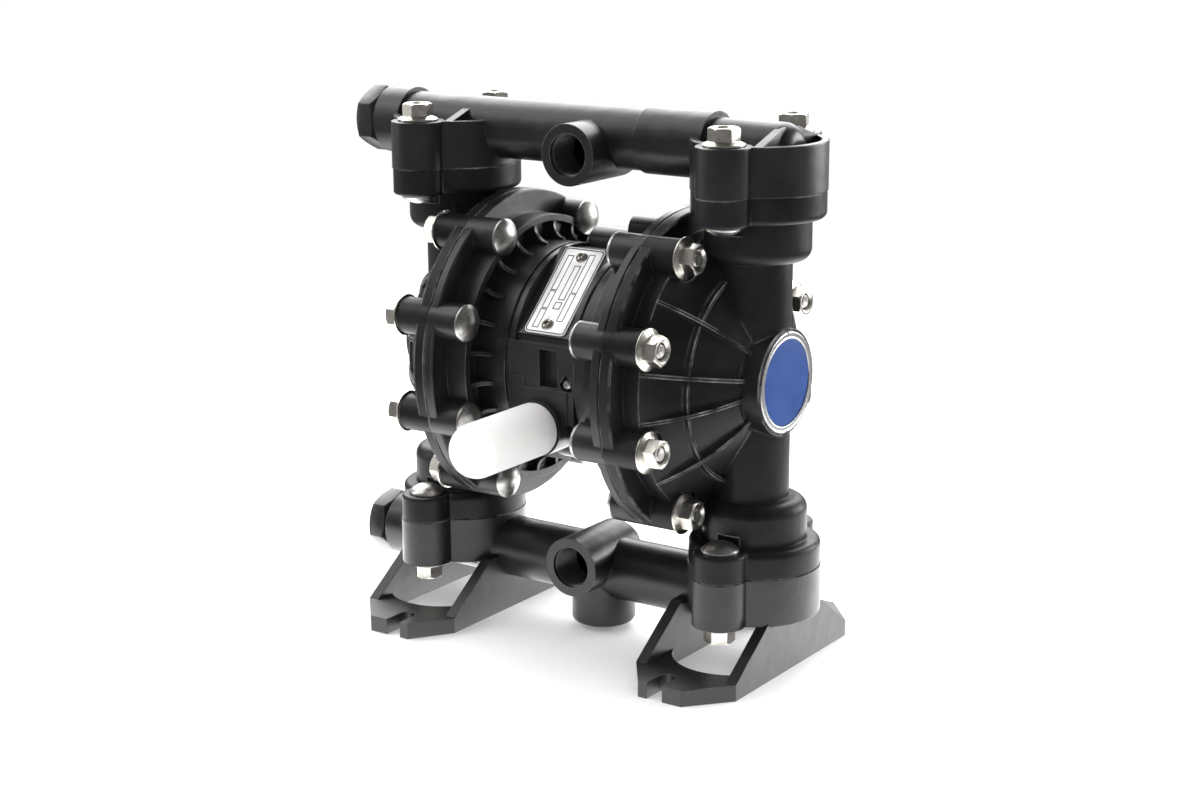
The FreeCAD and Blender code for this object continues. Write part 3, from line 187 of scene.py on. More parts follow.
add_node(tree, "OutputWorld", {"Surface": shine.outputs[0]})

bpy.ops.mesh.primitive_plane_add(size=floor_size)
floor = bpy.context.object
floor.name = "studio_floor"
paper, tree, shader = plain_material("pale_floor_paper")
rays = add_node(tree, "LightPath").outputs
seen = rays["Is Camera Ray"]
mirrored = rays["Is Glossy Ray"]
place = pump_place(tree)
far = add_node(tree, "VectorMath", {0: place}, operation="LENGTH").outputs["Value"]
way = add_node(tree, "VectorMath", {0: place}, operation="NORMALIZE").outputs[0]
near_and_far = math_node(
    tree, "MAXIMUM", spread(tree, far, near_reach, (floor_near, floor_ring), "SMOOTHSTEP"),
    spread(tree, far, far_reach, (0.0, floor_far), "SMOOTHSTEP"))
lens_dim = spread(tree, match_node(tree, way, lens_side), floor_turn, (1.0, floor_front),
                  "SMOOTHSTEP")
around = math_node(tree, "MULTIPLY", near_and_far, lens_dim)
shine = add_node(tree, "Emission", {
    "Strength": math_node(tree, "MAXIMUM", math_node(tree, "MULTIPLY", mirrored, around), seen)})
feed(tree, shader, {
    "Base Color": floor_grey, "Roughness": floor_rough, "Specular IOR Level": floor_gloss,
    "Emission Color": white, "Emission Strength": math_node(
        tree, "MULTIPLY", math_node(tree, "MAXIMUM", seen, mirrored), floor_lift)})
shining = math_node(
    tree, "MAXIMUM",
    math_node(tree, "MULTIPLY", seen, spread(tree, far, seen_reach, kind="SMOOTHSTEP")),
    math_node(tree, "MULTIPLY", mirrored, spread(tree, far, mirrored_reach, kind="SMOOTHSTEP")))
mix = add_node(tree, "MixShader", {0: shining, 1: shader.outputs[0], 2: shine.outputs[0]})
feed(tree, tree.nodes["Material Output"], {"Surface": mix.outputs[0]})
dress(floor.data, paper)

for name, place, size, watts in soft_boxes:
    bpy.ops.object.light_add(type="AREA", location=place)
    lamp = bpy.context.object
    lamp.name = name
    lamp.data.shape = "RECTANGLE"
    lamp.data.size, lamp.data.size_y = size
    lamp.data.energy = watts
    lamp.rotation_euler = (box_aim - Vector(place)).to_track_quat("-Z", "Y").to_euler()


# Covers, manifolds and centre housing
# Glass-filled plastic, injection moulded black: satin, with a faint cloudy sheen, a fine grain and
# edges that the mould rounds a little, with a painted highlight along the outer edges. The
# mouldings keep their CAD shapes.

mm = 0.001
skin_bump = 0.03 * mm
edge_match = (0.97, 0.78)
edge_open = (0.72, 0.97)
edge_reach = 2.0 * mm
cloud_size = 34.0
wave_size = 95.0
streak_size = (14.0, 90.0, 60.0)
dust_grey = (0.11, 0.105, 0.10)
dust_facing = (0.6, 1.0)
dust_grain = (0.45, 0.75)
highlight_streak = (0.4, 0.7)
clouding = (0.35, 0.65)
skin_outputs = {"Color": "Color", "Roughness": "Float", "Height": "Float"}


def new_group(name, inputs, outputs):
    """Empty shader node group: the group, the sockets of its inputs and its output node."""
    group = bpy.data.node_groups.new(name, "ShaderNodeTree")
    for socket, value in inputs.items():
        kind, given = ("Color", (*value, 1.0)) if isinstance(value, tuple) else ("Float", value)
        made = group.interface.new_socket(name=socket, in_out="INPUT",
                                          socket_type="NodeSocket" + kind)
        made.default_value = given
    for socket, kind in outputs.items():
        group.interface.new_socket(name=socket, in_out="OUTPUT", socket_type="NodeSocket" + kind)
    source = group.nodes.new("NodeGroupInput")
    return group, source.outputs, group.nodes.new("NodeGroupOutput")


def noise(tree, vector, scale, detail, roughness):
    """Noise of one size; its value socket."""
    node = add_node(tree, "TexNoise", {
        "Vector": vector, "Scale": scale, "Detail": detail, "Roughness": roughness})
    return node.outputs["Fac"]


def shares(tree, first, first_share, second, second_share):
    """Sum of two values, each times its share; its result socket."""
    return math_node(tree, "ADD", math_node(tree, "MULTIPLY", first, first_share),
                     math_node(tree, "MULTIPLY", second, second_share))


def blend_colour(tree, mask, first, second):
    """Mix of two colours by a mask; its result socket."""
    return add_node(tree, "Mix", {0: mask, 6: first, 7: second}, data_type="RGBA").outputs[2]


def edge_group():
    """Rounded edges: a normal that turns over each edge, and a mask of the outer edges."""
    group, given, sink = new_group(
        "rounded_edges", {"Radius": 0.6 * mm}, {"Normal": "Vector", "Edge": "Float"})
    turned_normal = add_node(group, "Bevel", {"Radius": given["Radius"]}, samples=4).outputs[0]
    flat_normal = add_node(group, "NewGeometry").outputs["Normal"]
    open_side = add_node(group, "AmbientOcclusion", {"Distance": edge_reach}, samples=4,
                         only_local=True).outputs["AO"]
    turns = spread(group, match_node(group, turned_normal, flat_normal), edge_match)
    feed(group, sink, {
        "Normal": turned_normal,
        "Edge": math_node(group, "MULTIPLY", turns, spread(group, open_side, edge_open))})
    return group


def moulded_group():
    """Moulded plastic: cloudy colour and gloss, fine grain, dust on top faces, painted edge
    highlights.
    """
    group, given, sink = new_group("moulded_skin", {
        "Deep": (0.006, 0.006, 0.0065), "Pale": (0.013, 0.013, 0.014),
        "Edge Highlight": (0.260, 0.260, 0.262), "Smooth": 0.30, "Matt": 0.42, "Grain Size": 1600.0,
        "Dust": 0.16, "Edge Mask": 0.0}, skin_outputs)
    place = pump_place(group)
    cloud = noise(group, place, cloud_size, detail=4.0, roughness=0.55)
    grain = noise(group, place, given["Grain Size"], detail=2.0, roughness=0.6)
    waves = noise(group, place, wave_size, detail=2.0, roughness=0.4)
    flow = add_node(group, "Mapping", {"Vector": place, "Scale": streak_size}).outputs[0]
    streak = noise(group, flow, 1.0, detail=3.0, roughness=0.6)
    colour = blend_colour(group, spread(group, cloud, clouding), given["Deep"], given["Pale"])
    # Painted highlight: the outer edges are lightened in streaks towards a pale edge colour,
    # standing in for light caught on their rounded crests.
    highlight_share = math_node(group, "MULTIPLY", given["Edge Mask"], spread(group, streak, highlight_streak))
    highlit = blend_colour(group, highlight_share, colour, given["Edge Highlight"])
    facing = add_node(group, "NewGeometry").outputs["Normal"]
    upward = add_node(group, "SeparateXYZ", {0: facing}).outputs["Z"]
    settled = math_node(group, "MULTIPLY", spread(group, upward, dust_facing),
                        spread(group, grain, dust_grain, (0.0, given["Dust"])))
    feed(group, sink, {
        "Color": blend_colour(group, settled, highlit, dust_grey),
        "Roughness": spread(group, shares(group, cloud, 0.6, streak, 0.4), clouding,
                            (given["Smooth"], given["Matt"])),
        "Height": shares(group, grain, 0.5, waves, 9.0)})
    return group


rounded_edges = edge_group()
moulded_skin = moulded_group()


def add_bump(tree, shader, height, distance, under=None):
    """Bump that feeds the shader's normal, over another normal where one is given."""
    bump = add_node(tree, "Bump", {"Height": height, "Distance": distance})
    if under is not None:
        feed(tree, bump, {"Normal": under})
    feed(tree, shader, {"Normal": bump.outputs[0]})


def put_on(tree, shader, skin, bump, edges):
    """Joins a skin's colour, gloss and height to the shader, over rounded edges."""
    feed(tree, shader, {"Base Color": skin["Color"], "Roughness": skin["Roughness"]})
    add_bump(tree, shader, skin["Height"], bump, edges["Normal"])


def moulded_material(name, values, radius, specular=0.5):
    """Moulded plastic or rubber of one colour and gloss, with painted highlights on its outer
    edges.
    """
    material, tree, shader = plain_material(name)
    edges = add_node(tree, "Group", {"Radius": radius}, node_tree=rounded_edges).outputs
    values = {**values, "Edge Mask": edges["Edge"]}
    skin = add_node(tree, "Group", values, node_tree=moulded_skin).outputs
    put_on(tree, shader, skin, skin_bump, edges)
    shader.inputs["Specular IOR Level"].default_value = specular
    return material


def finish_nodes(material, *names):
    """Gives CAD nodes their material."""
    for name in names:
        dress(nodes[name].data, material)


def both(name):
    """A node's name on the right and on the left."""
    return (name + "_right", name + "_left")


satin_black = moulded_material("satin_black_moulding", {}, radius=0.7 * mm)
housing_black = moulded_material("housing_black_moulding", {
    "Deep": (0.010, 0.010, 0.0105), "Pale": (0.019, 0.019, 0.020), "Smooth": 0.26,
    "Matt": 0.36}, radius=0.5 * mm)
foot_black = moulded_material("foot_black_moulding", {
    "Dust": 0.02, "Smooth": 0.34, "Matt": 0.44}, radius=0.7 * mm)
# The rib crests get a strong painted highlight along their edges.
ribbed_black = moulded_material("ribbed_cover_moulding", {
    "Deep": (0.005, 0.005, 0.0055), "Edge Highlight": (0.70, 0.70, 0.71), "Smooth": 0.32,
    "Matt": 0.46}, radius=1.4 * mm, specular=0.20)
finish_nodes(satin_black, "outlet_manifold", "inlet_manifold", "inlet_stub", *both("air_cover"))
finish_nodes(foot_black, *both("inlet_foot"))
finish_nodes(ribbed_black, *both("fluid_cover"))
finish_nodes(housing_black, "centre_housing", "valve_cover")


# Cover and manifold bolts
# Forged stainless bolts with a low round head and a square shoulder under it: eight through each
# pair of covers and four through each pair of manifold flanges, their ends rolled with a thread.

axis_height = 140 * mm
bolt_circle_r = 70 * mm
bolt_angles = (30, 70, 110, 150)
tower_x = 87.5 * mm
lug_y = 31.5 * mm
head_r = 9.0 * mm
head_high = 5.0 * mm
head_edge = 1.2 * mm
dome_share = 0.985
shank_r = 3.9 * mm
thread_long = 14.0 * mm
thread_pitch = 1.25 * mm
crest_r = shank_r - 0.05 * mm
root_r = shank_r - 0.6 * mm
cover_head_x = 33.6 * mm
cover_nut_x = 69.0 * mm
cover_flange_z = 77.0 * mm
manifold_top_z = 113.0 * mm
nut_high = 8.5 * mm
bolt_end_gap = 0.9 * mm
stain_size = 260.0
sides = ((1, "right"), (-1, "left"))
levels = ((1, "outlet"), (-1, "inlet"))


def rotation(degrees, axis):
    """Turn about an axis."""
    return Matrix.Rotation(math.radians(degrees), 4, axis)


def start_edit():
    """Edit mode on the active piece, all of it selected."""
    bpy.ops.object.mode_set(mode="EDIT")
    bpy.ops.mesh.select_all(action="SELECT")


def end_edit():
    """Faces turned outwards, and back to object mode."""
    bpy.ops.mesh.select_all(action="SELECT")
    bpy.ops.mesh.normals_make_consistent(inside=False)
    bpy.ops.object.mode_set(mode="OBJECT")


def name_new(name):
    """Names the primitive just added and applies its place and turn; the piece."""
    piece = bpy.context.object
    piece.name = name
    bpy.ops.object.transform_apply(location=True, rotation=True, scale=False)
    return piece


def turned(name, steps, facets=48):
    """Piece turned about Z from (height, radius) steps, closed at both ends."""
    bpy.ops.object.select_all(action="DESELECT")
    height, radius = steps[0]
    bpy.ops.mesh.primitive_circle_add(vertices=facets, radius=radius, location=(0, 0, height),
                                      fill_type="NGON")
    piece = name_new(name)
    start_edit()
    for next_height, next_radius in steps[1:]:
        climb = (0, 0, next_height - height)
        bpy.ops.mesh.extrude_region_move(TRANSFORM_OT_translate={"value": climb})
        grow = next_radius / radius
        bpy.ops.transform.resize(value=(grow, grow, 1), center_override=(0, 0, next_height))
        height, radius = next_height, next_radius
    end_edit()
    return piece


def make_active(piece):
    """Only this piece selected, and active."""
    bpy.ops.object.select_all(action="DESELECT")
    piece.select_set(True)
    bpy.context.view_layer.objects.active = piece


def apply_modifier(piece, kind, **settings):
    """Adds a modifier, sets it and applies it."""
    make_active(piece)
    modifier = piece.modifiers.new(kind.lower(), kind)
    for key, value in settings.items():
        setattr(modifier, key, value)
    bpy.ops.object.modifier_apply(modifier=modifier.name)


def combine(piece, tool, operation):
    """Boolean of a piece with a tool, which is used up."""
    apply_modifier(piece, "BOOLEAN", operation=operation, object=tool, solver="EXACT")
    bpy.data.objects.remove(tool)


def smooth_edges(piece, degrees):
    """Smooth shading, with the edges that turn further kept sharp; the piece."""
    make_active(piece)
    bpy.ops.object.shade_smooth_by_angle(angle=math.radians(degrees))
    return piece


def joined(name, pieces):
    """Several pieces in one object."""
    make_active(pieces[0])
    for piece in pieces:
        piece.select_set(True)
    bpy.ops.object.join()
    whole = bpy.context.object
    whole.name = name
    whole.data.name = name
    return whole


def fit(master, name, places, material, slot, *replaced):
    """Copies of a piece at their places on the pump, in one object that replaces CAD nodes."""
    made = []
    for place in places:
        copy = master.copy()
        copy.data = master.data.copy()
        copy.data.transform(place)
        bpy.context.collection.objects.link(copy)
        made.append(copy)
    piece = joined(name, made)
    dress(piece.data, material)
    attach(piece, "pump_body")
    if replaced:
        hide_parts(*replaced)


def bolt(name, grip):
    """Bolt along +Z: its head below the seat at zero, its end at the grip length."""
    ball = (head_r ** 2 + (head_high - head_edge) ** 2) / (2 * (head_high - head_edge))
    steps = [(-head_high, 0.4 * mm)]
    for k in range(1, 10):
        a = math.asin(head_r * dome_share / ball) * k / 9
        steps.append((-head_high + ball * (1 - math.cos(a)), ball * math.sin(a)))
    steps += [(-head_edge, head_r - 0.06 * mm), (-head_edge * 0.75, head_r), (-0.15 * mm, head_r),
              (0, head_r - 0.12 * mm), (0, shank_r)]
    height = grip - thread_long + 0.3 * mm
    steps += [(grip - thread_long, shank_r), (height, shank_r - 0.4 * mm)]
    while height + thread_pitch < grip - 0.8 * mm:
        steps += [(height + thread_pitch / 2, crest_r), (height + thread_pitch, root_r)]
        height += thread_pitch
    steps += [(grip - 0.5 * mm, root_r), (grip, shank_r - 1.1 * mm), (grip, shank_r - 2.0 * mm),
              (grip - 0.3 * mm, 0.4 * mm)]
    return smooth_edges(turned(name, steps, facets=40), degrees=28)


def steel_group():
    """Bright steel: fine scratches, cloudy gloss and faintly stained patches."""
    group, given, sink = new_group("bright_steel", {
        "Clean": (0.66, 0.64, 0.60), "Stained": (0.46, 0.43, 0.38), "Polished": 0.16,
        "Dull": 0.36, "Scratch Size": 900.0}, skin_outputs)
    place = pump_place(group)
    cloud = noise(group, place, stain_size, detail=4.0, roughness=0.6)
    scratch = noise(group, place, given["Scratch Size"], detail=3.0, roughness=0.7)
    feed(group, sink, {
        "Color": blend_colour(group, spread(group, cloud, (0.42, 0.70)), given["Clean"],
                              given["Stained"]),
        "Roughness": spread(group, shares(group, cloud, 0.7, scratch, 0.3), (0.35, 0.68),
                            (given["Polished"], given["Dull"])),
        "Height": math_node(group, "ADD", scratch, cloud)})
    return group


bright_steel = steel_group()


def steel_material(name, values, radius, bump, metallic=1.0):
    """Bright metal with rounded edges."""
    material, tree, shader = plain_material(name)
    edges = add_node(tree, "Group", {"Radius": radius}, node_tree=rounded_edges).outputs
    skin = add_node(tree, "Group", values, node_tree=bright_steel).outputs
    put_on(tree, shader, skin, bump, edges)
    shader.inputs["Metallic"].default_value = metallic
    return material


def spot(x, y, z):
    """Place in the pump, with its height from the shaft's axis."""
    return Matrix.Translation((x, y, z + axis_height))


def cover_bolt_spots(side, x):
    """Places along X of the eight bolts of one side, pointing outwards."""
    places = []
    for front in (-1, 1):
        for angle in bolt_angles:
            a = math.radians(angle)
            y = front * bolt_circle_r * math.sin(a)
            place = spot(side * x, y, bolt_circle_r * math.cos(a))
            places.append(place @ rotation(90 * side, "Y"))
    return places


def tower_spots(level, z):
    """Places of the four bolts of a manifold, pointing away from the shaft."""
    away = rotation(0 if level > 0 else 180, "X")
    return [spot(x, y, level * z) @ away for x in (-tower_x, tower_x) for y in (-lug_y, lug_y)]


forged_steel = steel_material("forged_stainless", {
    "Clean": (0.60, 0.59, 0.57), "Stained": (0.36, 0.35, 0.33), "Polished": 0.26,
    "Dull": 0.46}, radius=0.3 * mm, bump=0.010 * mm)
cover_bolt = bolt("cover_bolt", cover_nut_x - cover_head_x + nut_high - bolt_end_gap)
for side, word in sides:
    fit(cover_bolt, "round_head_bolts_" + word, cover_bolt_spots(side, cover_head_x), forged_steel,
        "stainless", "cover_bolts_" + word)
bpy.data.objects.remove(cover_bolt)
manifold_bolt = bolt("manifold_bolt", manifold_top_z - cover_flange_z + nut_high - bolt_end_gap)
for level, word in levels:
    fit(manifold_bolt, "round_head_bolts_" + word, tower_spots(level, cover_flange_z),
        forged_steel, "stainless", word + "_manifold_bolts")
bpy.data.objects.remove(manifold_bolt)


# Flange nuts
# Cold-formed stainless hexagon nuts with a round pressed flange. The end face is dished and the
# bolt's end shows in it, and the corners are chamfered by the turning tool.

nut_flats = 13.0 * mm
flange_r = 10.0 * mm
flange_thick = 1.8 * mm
nut_hole_r = 4.05 * mm


def hexagon(name, flats, low, high):
    """Upright hexagonal bar between two heights."""
    bpy.ops.object.select_all(action="DESELECT")
    corner_r = flats / 2 / math.cos(math.pi / 6)
    bpy.ops.mesh.primitive_cylinder_add(vertices=6, radius=corner_r, depth=high - low,
                                        location=(0, 0, (low + high) / 2))
    return name_new(name)


def flange_nut():
    """Nut standing on its flange at zero height."""
    nut = hexagon("flange_nut", nut_flats, 0.2 * mm, nut_high)
    edge = nut_flats / 2
    trim = turned("nut_trim", [
        (-1 * mm, flange_r), (nut_high - 1.6 * mm, flange_r),
        (nut_high - 0.75 * mm, edge + 0.9 * mm), (nut_high - 0.1 * mm, edge + 0.05 * mm),
        (nut_high, edge - 0.3 * mm)], facets=64)
    combine(nut, trim, "INTERSECT")
    skirt = turned("nut_flange", [
        (0, flange_r - 0.25 * mm), (0.2 * mm, flange_r), (0.85 * mm, flange_r),
        (1.1 * mm, flange_r - 0.2 * mm), (flange_thick, edge + 1.6 * mm),
        (flange_thick + 0.5 * mm, edge + 0.7 * mm),
        (flange_thick + 0.7 * mm, edge - 0.4 * mm)], facets=64)
    combine(nut, skirt, "UNION")
    dish = turned("nut_dish", [
        (-1 * mm, nut_hole_r), (nut_high - 1.1 * mm, nut_hole_r),
        (nut_high - 0.35 * mm, nut_hole_r + 0.75 * mm), (nut_high + 0.2 * mm, edge - 0.7 * mm),
        (nut_high + 1 * mm, edge - 0.5 * mm)])
    combine(nut, dish, "DIFFERENCE")
    return smooth_edges(nut, degrees=24)


def tightened(places, first, step):
    """Places of nuts or screws, each turned by its own number of degrees as it was tightened."""
    return [place @ rotation(first + step * k, "Z") for k, place in enumerate(places)]


nut_steel = steel_material("pressed_stainless", {
    "Clean": (0.70, 0.68, 0.63), "Stained": (0.52, 0.49, 0.43), "Polished": 0.24,
    "Dull": 0.38}, radius=0.3 * mm, bump=0.006 * mm)
nut = flange_nut()
for side, word in sides:
    places = tightened(cover_bolt_spots(side, cover_nut_x), first=8, step=17)
    fit(nut, "flange_nuts_" + word, places, nut_steel, "stainless", "cover_nuts_" + word)
for level, word in levels:
    places = tightened(tower_spots(level, manifold_top_z), first=15, step=22)
    fit(nut, "flange_nuts_" + word, places, nut_steel, "stainless", word + "_manifold_nuts")
bpy.data.objects.remove(nut)


# Hexagon end plugs
# Moulded black plugs that close the left ends of both manifolds: a big hexagon with turned-off
# corners, a shallow dish in its end, a plain neck and a tapered pipe thread.

plug_flats = 29.0 * mm
plug_neck_long = 2.0 * mm
plug_neck_r = 12.6 * mm
plug_hex_long = 11.0 * mm
plug_trim = 0.9 * mm
plug_dish_r = plug_flats / 2 - 3.6 * mm
plug_dish_deep = 0.8 * mm
plug_bevel = 0.35 * mm
plug_thread_r = 10.3 * mm
plug_thread_long = 14.0 * mm
plug_pitch = 1.81 * mm
plug_rolls = {"outlet": 90, "inlet": 102}
collar_end_x = 129.0 * mm
tube_z = 108.0 * mm


def end_plug():
    """Plug along +Z, its thread below zero."""
    low = plug_neck_long
    high = plug_neck_long + plug_hex_long
    trim_r = plug_flats / 2 - plug_trim
    corner_r = plug_flats / 2 / math.cos(math.pi / 6) + 0.1 * mm
    plug = hexagon("end_plug", plug_flats, low, high)
    trim = turned("plug_trim", [
        (low, trim_r), (low + 1.7 * mm, corner_r), (high - 2.0 * mm, corner_r),
        (high, trim_r)], facets=72)
    combine(plug, trim, "INTERSECT")
    dish = turned("plug_dish", [
        (high - plug_dish_deep, plug_dish_r - 1.0 * mm), (high + 0.1 * mm, plug_dish_r),
        (high + 2 * mm, plug_dish_r)], facets=64)
    combine(plug, dish, "DIFFERENCE")
    steps = [(low + 0.5 * mm, plug_neck_r), (0.05 * mm, plug_neck_r), (0.05 * mm, plug_thread_r)]
    height = -0.5 * mm
    while height > -plug_thread_long + plug_pitch:
        steps += [(height, plug_thread_r - 0.7 * mm), (height - plug_pitch / 2, plug_thread_r)]
        height -= plug_pitch
    steps.append((-plug_thread_long, plug_thread_r - 1.2 * mm))
    combine(plug, turned("plug_stem", steps, facets=56), "UNION")
    apply_modifier(plug, "BEVEL", width=plug_bevel, segments=2, limit_method="ANGLE",
                   angle_limit=math.radians(40))
    return smooth_edges(plug, degrees=30)


plug_black = moulded_material("plug_black_moulding", {
    "Deep": (0.012, 0.012, 0.013), "Pale": (0.024, 0.024, 0.026), "Smooth": 0.30,
    "Matt": 0.44}, radius=0.6 * mm)
plug = end_plug()
for level, word in levels:
    place = spot(-collar_end_x, 0, level * tube_z) @ rotation(-90, "Y")
    fit(plug, "hexagon_plug_" + word, [place @ rotation(plug_rolls[word], "Z")], plug_black,
        "plug_plastic", word + "_end_plug")
bpy.data.objects.remove(plug)


# Threads in the ports
# The half-inch pipe threads of the two front ports and the lower port, and the quarter-inch thread
# of the air inlet: one moulded ridge that winds round inside each bore.

port_z = 102.0 * mm
port_face_y = 29.0 * mm
port_bore_r = 10.25 * mm
port_pitch = 1.81 * mm
port_turns = 10
port_ridge = 0.95 * mm
port_thread_in = 1.6 * mm
ridge_half = 0.47
ridge_sunk = 0.25 * mm
stub_end_z = 137.0 * mm
air_face_y = 80.0 * mm
air_bore_r = 5.7 * mm
air_z = 8.0 * mm
air_pitch = 1.41 * mm
air_turns = 8
air_ridge = 0.7 * mm
air_thread_in = 1.2 * mm


def thread_ridge(name, bore_r, pitch, turns, ridge):
    """Winding ridge inside a bore along +Z, its first turn at zero."""
    bpy.ops.object.select_all(action="DESELECT")
    bpy.ops.mesh.primitive_circle_add(vertices=3, radius=pitch * 0.5, fill_type="NGON",
                                      location=(bore_r, 0, 0), rotation=(math.pi / 2, 0, 0))
    piece = name_new(name)
    tip = min(piece.data.vertices, key=lambda v: v.co.x)
    for vertex in piece.data.vertices:
        vertex.co.x = bore_r + ridge_sunk
        vertex.co.z = math.copysign(pitch * ridge_half, vertex.co.z)
    tip.co = (bore_r - ridge, 0, 0)
    apply_modifier(piece, "SCREW", axis="Z", screw_offset=pitch, iterations=turns, steps=40,
                   render_steps=40, use_merge_vertices=False)
    start_edit()
    bpy.ops.mesh.remove_doubles(threshold=1e-6)
    bpy.ops.mesh.fill_holes(sides=3)
    end_edit()
    return smooth_edges(piece, degrees=40)


port_thread = thread_ridge("port_thread", port_bore_r, port_pitch, port_turns, port_ridge)
backwards = rotation(-90, "X")
forwards = rotation(90, "X")
for level, word in levels:
    place = spot(0, port_thread_in - port_face_y, level * port_z) @ backwards
    fit(port_thread, "pipe_thread_" + word, [place], satin_black, "cover_plastic")
fit(port_thread, "pipe_thread_below", [spot(0, 0, port_thread_in - stub_end_z)], satin_black,
    "cover_plastic")
bpy.data.objects.remove(port_thread)
air_thread = thread_ridge("air_thread", air_bore_r, air_pitch, air_turns, air_ridge)
fit(air_thread, "pipe_thread_air", [spot(0, air_face_y - air_thread_in, air_z) @ forwards],
    housing_black, "cover_plastic")
bpy.data.objects.remove(air_thread)


# Muffler
# One-piece exhaust silencer of sintered white polyethylene: beads fused in a mould leave a matt,
# finely pebbled skin. It screws into the front boss by a short stub.

muffler_r = 13.0 * mm
muffler_long = 58.0 * mm
muffler_end = 11.0 * mm
muffler_straight = muffler_long - muffler_end
muffler_edge = 2.2 * mm
muffler_stub_r = 8.2 * mm
muffler_stub_long = 12.0 * mm
muffler_pitch = 1.4 * mm
exhaust_face_y = 56.0 * mm
exhaust_z = -25.0 * mm
bead_size = 2300.0
bead_bump = 0.05 * mm
yellowing_size = 90.0


def muffler():
    """Capsule along +Z from its seat at zero."""
    steps = [(-muffler_stub_long, muffler_stub_r - 0.4 * mm)]
    height = -muffler_stub_long + 0.6 * mm
    while height < -1.5 * mm:
        steps += [(height, muffler_stub_r - 0.5 * mm), (height + muffler_pitch / 2, muffler_stub_r)]
        height += muffler_pitch
    steps += [(0, muffler_stub_r), (0, muffler_r - muffler_edge), (0.3 * mm, muffler_r - 1.1 * mm),
              (1.1 * mm, muffler_r - 0.3 * mm), (muffler_edge, muffler_r)]
    steps += [(muffler_edge + (muffler_straight - muffler_edge) * k / 9, muffler_r)
              for k in range(1, 10)]
    for k in range(1, 10):
        a = math.pi / 2 * k / 10
        steps.append((muffler_straight + muffler_end * math.sin(a),
                      muffler_r - muffler_end * (1 - math.cos(a))))
    steps += [(muffler_long, muffler_r - muffler_end), (muffler_long, 0.6 * mm)]
    return smooth_edges(turned("capsule_muffler", steps, facets=72), degrees=40)


sintered, tree, shader = plain_material("sintered_white")
place = pump_place(tree)
beads = add_node(tree, "TexVoronoi", {"Vector": place, "Scale": bead_size}).outputs["Distance"]
cloud = noise(tree, place, yellowing_size, detail=4.0, roughness=0.6)
tint = blend_colour(tree, spread(tree, cloud, (0.35, 0.70)), (0.94, 0.935, 0.925),
                    (0.90, 0.895, 0.885))
feed(tree, shader, {
    "Base Color": blend_colour(tree, spread(tree, beads, (0.55, 1.0)), tint, (0.84, 0.83, 0.82)),
    "Roughness": spread(tree, cloud, (0.3, 0.7), (0.70, 0.90)), "Specular IOR Level": 0.25,
    "Subsurface Weight": 0.12, "Subsurface Scale": 3 * mm})
add_bump(tree, shader, shares(tree, cloud, 1.4, beads, -1.0), bead_bump)
master = muffler()
fit(master, "porous_muffler", [spot(0, -exhaust_face_y, exhaust_z) @ forwards], sintered,
    "muffler_white", "muffler")
bpy.data.objects.remove(master)


# Badges
# Round bare badges pressed into the bosses of the fluid covers: a blue enamelled disc in a dished
# ring of brushed aluminium, with a small locating notch at the top and at the bottom.

badge_r = 24.0 * mm
badge_seat_x = 102.5 * mm
badge_thick = 1.8 * mm
badge_border = 3.3 * mm
badge_dish = 0.45 * mm
notch_r = 1.1 * mm
notch_y = badge_r - 0.15 * mm
enamel_low = badge_thick - 0.9 * mm
enamel_top = badge_thick - badge_dish
enamel_r = badge_r - badge_border
enamel_cloud_size = 70.0
enamel_fleck_size = 2600.0


def open_middle(piece):
    """Makes a ring of a turned piece: its two flat ends are opened and their rims joined."""
    make_active(piece)
    start_edit()
    bpy.ops.mesh.select_all(action="DESELECT")
    bpy.ops.object.mode_set(mode="OBJECT")
    for face in piece.data.polygons:
        face.select = abs(face.normal.z) > 0.99 and len(face.vertices) > 4
    bpy.ops.object.mode_set(mode="EDIT")
    bpy.ops.mesh.delete(type="ONLY_FACE")
    bpy.ops.mesh.select_mode(type="EDGE")
    bpy.ops.mesh.select_all(action="DESELECT")
    bpy.ops.mesh.select_non_manifold()
    bpy.ops.mesh.bridge_edge_loops()
    bpy.ops.mesh.select_mode(type="VERT")
    end_edit()


def drill(piece, facets, radius, depth, place, degrees=0):
    """Cuts a straight hole along Z."""
    bpy.ops.object.select_all(action="DESELECT")
    bpy.ops.mesh.primitive_cylinder_add(vertices=facets, radius=radius, depth=depth,
                                        location=place, rotation=(0, 0, math.radians(degrees)))
    combine(piece, bpy.context.object, "DIFFERENCE")


badge_ring = turned("badge_ring", [
    (0, enamel_r), (0, badge_r - 0.05 * mm), (badge_thick - 0.5 * mm, badge_r),
    (badge_thick - 0.12 * mm, badge_r - 0.25 * mm), (badge_thick, badge_r - 0.6 * mm),
    (badge_thick - 0.25 * mm, badge_r - 1.6 * mm), (badge_thick - 0.25 * mm, enamel_r + 0.5 * mm),
    (badge_thick - 0.1 * mm, enamel_r + 0.2 * mm), (badge_thick - 0.5 * mm, enamel_r)],
    facets=128)
open_middle(badge_ring)
for y, degrees in ((notch_y, 0), (-notch_y, 180)):
    drill(badge_ring, 3, notch_r, 3 * badge_thick, (0, y, 0), degrees)
smooth_edges(badge_ring, degrees=30)
enamel_disc = smooth_edges(turned("enamel_disc", [
    (enamel_low, enamel_r - 0.02 * mm), (enamel_top - 0.2 * mm, enamel_r - 0.02 * mm),
    (enamel_top - 0.05 * mm, enamel_r - 0.18 * mm), (enamel_top, enamel_r - 0.5 * mm),
    (enamel_top + 0.12 * mm, enamel_r * 0.7), (enamel_top + 0.18 * mm, enamel_r * 0.35),
    (enamel_top + 0.19 * mm, 0.3 * mm)], facets=96), degrees=40)

